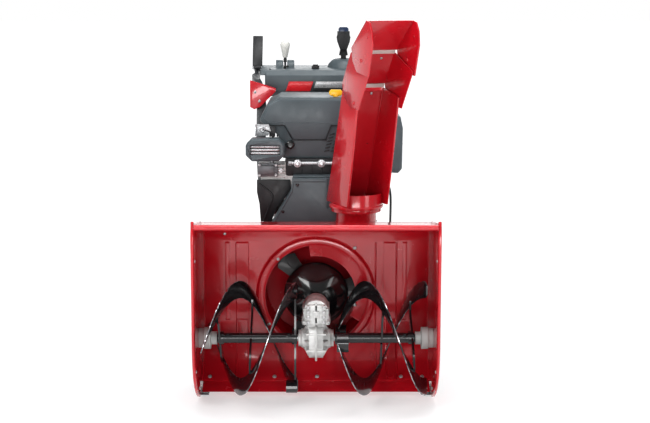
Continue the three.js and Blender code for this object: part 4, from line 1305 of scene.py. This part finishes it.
@made("black_plastic", bevel=0.0008)
def console_trim(bm):
    """The parting line round the console's tray, and its switch."""
    path = ((-0.2, 0.33), (-0.15, 0.3235), (0.15, 0.3235), (0.2, 0.33))
    tube(bm, smooth_path([(x, y, 0.964) for x, y in path], 6), 0.0014, 8)
    block(bm, (-0.016, 0.372, 0.9845), (0.012, 0.394, 0.9935))
    block(bm, (-0.012, 0.376, 0.993), (0.008, 0.39, 0.9985))


@made("black_paint")
def console_screws(bm):
    for x in (-0.17, 0.17):
        for y, z in ((0.36, 0.9795), (0.535, 0.983)):
            bolt(bm, (x, y, z), Z, 0.0042)


@made("black_plastic", bevel=0.001)
def shift_gate(bm):
    """Steps beside the shift lever's slot."""
    for y in spread(0.402, 0.464, 5):
        block(bm, (-0.1085, y, 0.987), (-0.103, y + 0.006, 0.9945))


@made("black_plastic", "shift")
def shift_boot(bm):
    lathe(bm, (LEVER_X, CONTROL_Y, 0.999), Z,
          [(0.006, 0.006), (0.0066, 0.008), (0.006, 0.012), (0.0062, 0.015), (0.0052, 0.021),
           (0.0045, 0.024)], 24)


@made("grip_rubber", "joystick", angle=60)
def joystick_boot(bm):
    """A pleated boot round the joystick's stem."""
    low, high, pleats = 0.045, 0.065, 11
    heights = spread(low, high, pleats)
    radii = spread(0.016, 0.0125, pleats)
    pleated = [(r + (0.0014 if i % 2 else 0), h) for i, (r, h) in enumerate(zip(radii, heights))]
    lathe(bm, (JOYSTICK_X, CONTROL_Y, CONSOLE_Z), Z, [(0.0105, low), *pleated, (0.0105, high)], 40)


GRIP_LENGTH = (GRIP_TO - GRIP_FROM).length
GRIP_ALONG = (GRIP_TO - GRIP_FROM).normalized()


def ribbed_grip(side):
    """A rubber sleeve with a ring of grooves along it."""
    outer, groove, half = 0.017, 0.016, 0.0014

    def build(bm):
        profile = [(0.0122, 0.0195), (0.0165, 0.0198), (0.0172, 0.022)]
        for s in spread(0.026, GRIP_LENGTH - 0.008, 22):
            profile += [(outer, s - half), (groove, s), (outer, s + half)]
        profile += [(0.0171, GRIP_LENGTH + 0.0015), (0.016, GRIP_LENGTH + 0.0052),
                    (0.01, GRIP_LENGTH + 0.0058), (0, GRIP_LENGTH + 0.0059)]
        lathe(bm, GRIP_FROM + X * side * HANDLE_X, GRIP_ALONG, profile, 40)
    return build


for end, side in SIDES:
    piece(f"ribbed_grip_{end}", ribbed_grip(side), "grip_rubber", replaces=[f"grip_{end}"], angle=50)
GRIP_FORWARD = Vector((0, -GRIP_ALONG.z, GRIP_ALONG.y))
HANDLE_BOLTS = ((0.292, 0.868, 0.2), (0.238, 0.722, 0.2), (0.178, 0.562, 0.19),
                (0.107, 0.345, 0.1555))  # y, z, and the x of the tube that each goes through
GUSSET_RIVETS = ((0.222, 0.905), (0.206, 0.872))  # x and z


@made("zinc_steel")
def handle_hardware(bm):
    """Clamps and lever pivots at the grips, and the bolts that hold the handles."""
    for side in (-1, 1):
        base = GRIP_FROM + X * side * HANDLE_X
        lathe(bm, base + GRIP_ALONG * 0.002, GRIP_ALONG,
              [(0.0118, 0), (0.015, 0.001), (0.015, 0.013), (0.0118, 0.014)], 32)
        pivot = base - GRIP_ALONG * 0.002 + GRIP_FORWARD * 0.022
        for out in (-1, 1):
            bolt(bm, pivot + X * out * 0.0148, X * out, 0.0055)
        for y, z, x in HANDLE_BOLTS:
            bolt(bm, (side * (x + 0.0172), y, z), X * side, 0.0065)
        for x, z in GUSSET_RIVETS:
            rivet(bm, (side * x, 0.2618, z), -Y, 0.0055)


LEVER_CABLE = ((0.213, 0.604, 0.968), (0.206, 0.592, 0.958), (0.2, 0.57, 0.952),
               (0.186, 0.556, 0.948))


def lever_cables():
    """Short cables from each hand lever down into the console."""
    return [smooth_path([(side * x, y, z) for x, y, z in LEVER_CABLE], 6) for side in (-1, 1)]


piece("lever_cables", rods(lever_cables(), 0.0024, 10), "black_plastic")


# ---- Wheels ----
TYRE_HALF_PROFILE = [(0.1045, 0.0455), (0.112, 0.05), (0.118, 0.0515), (0.122, 0.056),
                     (0.15, 0.0598), (0.17, 0.0585), (0.183, 0.053), (0.19, 0.044),
                     (0.1925, 0.02)]
TYRE_CROWN = (0.1935, 0)


def hub(side):
    return Vector((side * WHEEL_X, AXLE_Y, WHEEL_R))


def tyre(side):
    def build(bm):
        profile = [(r, -x) for r, x in TYRE_HALF_PROFILE]
        profile += [TYRE_CROWN, *reversed(TYRE_HALF_PROFILE)]
        lathe_open(bm, hub(side), X, profile, 96)
    return build


LUGS = 22


def lug(bm, centre, half, start):
    """A bar from the tread's middle out over the tyre's shoulder, sweeping back as it goes."""
    rings = []
    for t in spread(0, 1, 9):
        angle = start + 0.2 * t ** 1.2
        top = 0.2026 - 0.0165 * (max(0, t - 0.62) / 0.38) ** 1.3
        floor = 0.1905 - 0.011 * max(0, t - 0.6) / 0.4
        half_angle = (0.0085 + 0.003 * t) / 0.2
        middle = centre + X * half * (0.002 + 0.053 * t)
        rings.append([
            polar(middle, Y, Z, r, angle + w * half_angle)
            for r, w in ((floor, 1.25), (top, 0.85), (top, -0.85), (floor, -1.25))
        ])
    loft(bm, rings)


def tread(side):
    """Chevron lugs, the two rows half a pitch apart."""
    def build(bm):
        for angle in turns(LUGS):
            for half in (-1, 1):
                lug(bm, hub(side), half, angle + (math.pi / LUGS if half > 0 else 0))
    return build


def rim_nuts(side):
    """Five nuts on both faces of the rim, and a washer on the axle's end."""
    def build(bm):
        for out, face in ((side, 0.0082), (-side, 0.0022)):
            for angle in turns(5):
                bolt(bm, polar(hub(side) + X * out * face, Y, Z, 0.045, angle), X * out, 0.0065)
        lathe(bm, hub(side) + X * side * 0.044, X * side,
              [(0.0128, 0), (0.02, 0.0004), (0.02, 0.0025), (0.0128, 0.003)], 28)
    return build


for end, side in SIDES:
    body = f"wheel_{end}"
    piece(f"tyre_wall_{end}", tyre(side), "tyre", body, replaces=[f"tyre_{end}"], angle=60)
    piece(f"tread_{end}", tread(side), "tyre", body, bevel=0.0012, angle=50)
    piece(f"rim_nuts_{end}", rim_nuts(side), "zinc_steel", body)


# ---- Frame and transmission ----
FRAME_BOLTS = ((-0.2, 0.41), (-0.2, 0.18), (0.12, 0.41), (0.04, 0.25), (-0.04, 0.4))


@made("zinc_steel")
def frame_bolts(bm):
    for side in (-1, 1):
        for y, z in FRAME_BOLTS:
            bolt(bm, (side * 0.134, y, z), X * side, 0.006)


@made("dark_alloy", bevel=0.001)
def transmission_ribs(bm):
    """Ribs and corner bolts on the case's rear."""
    for x in spread(-0.075, 0.075, 6):
        block(bm, (x - 0.0025, 0.0895, 0.186), (x + 0.0025, 0.0945, 0.306))
    for x in (-0.084, 0.084):
        for z in (0.19, 0.3):
            bolt(bm, (x, 0.09, z), Y, 0.005)
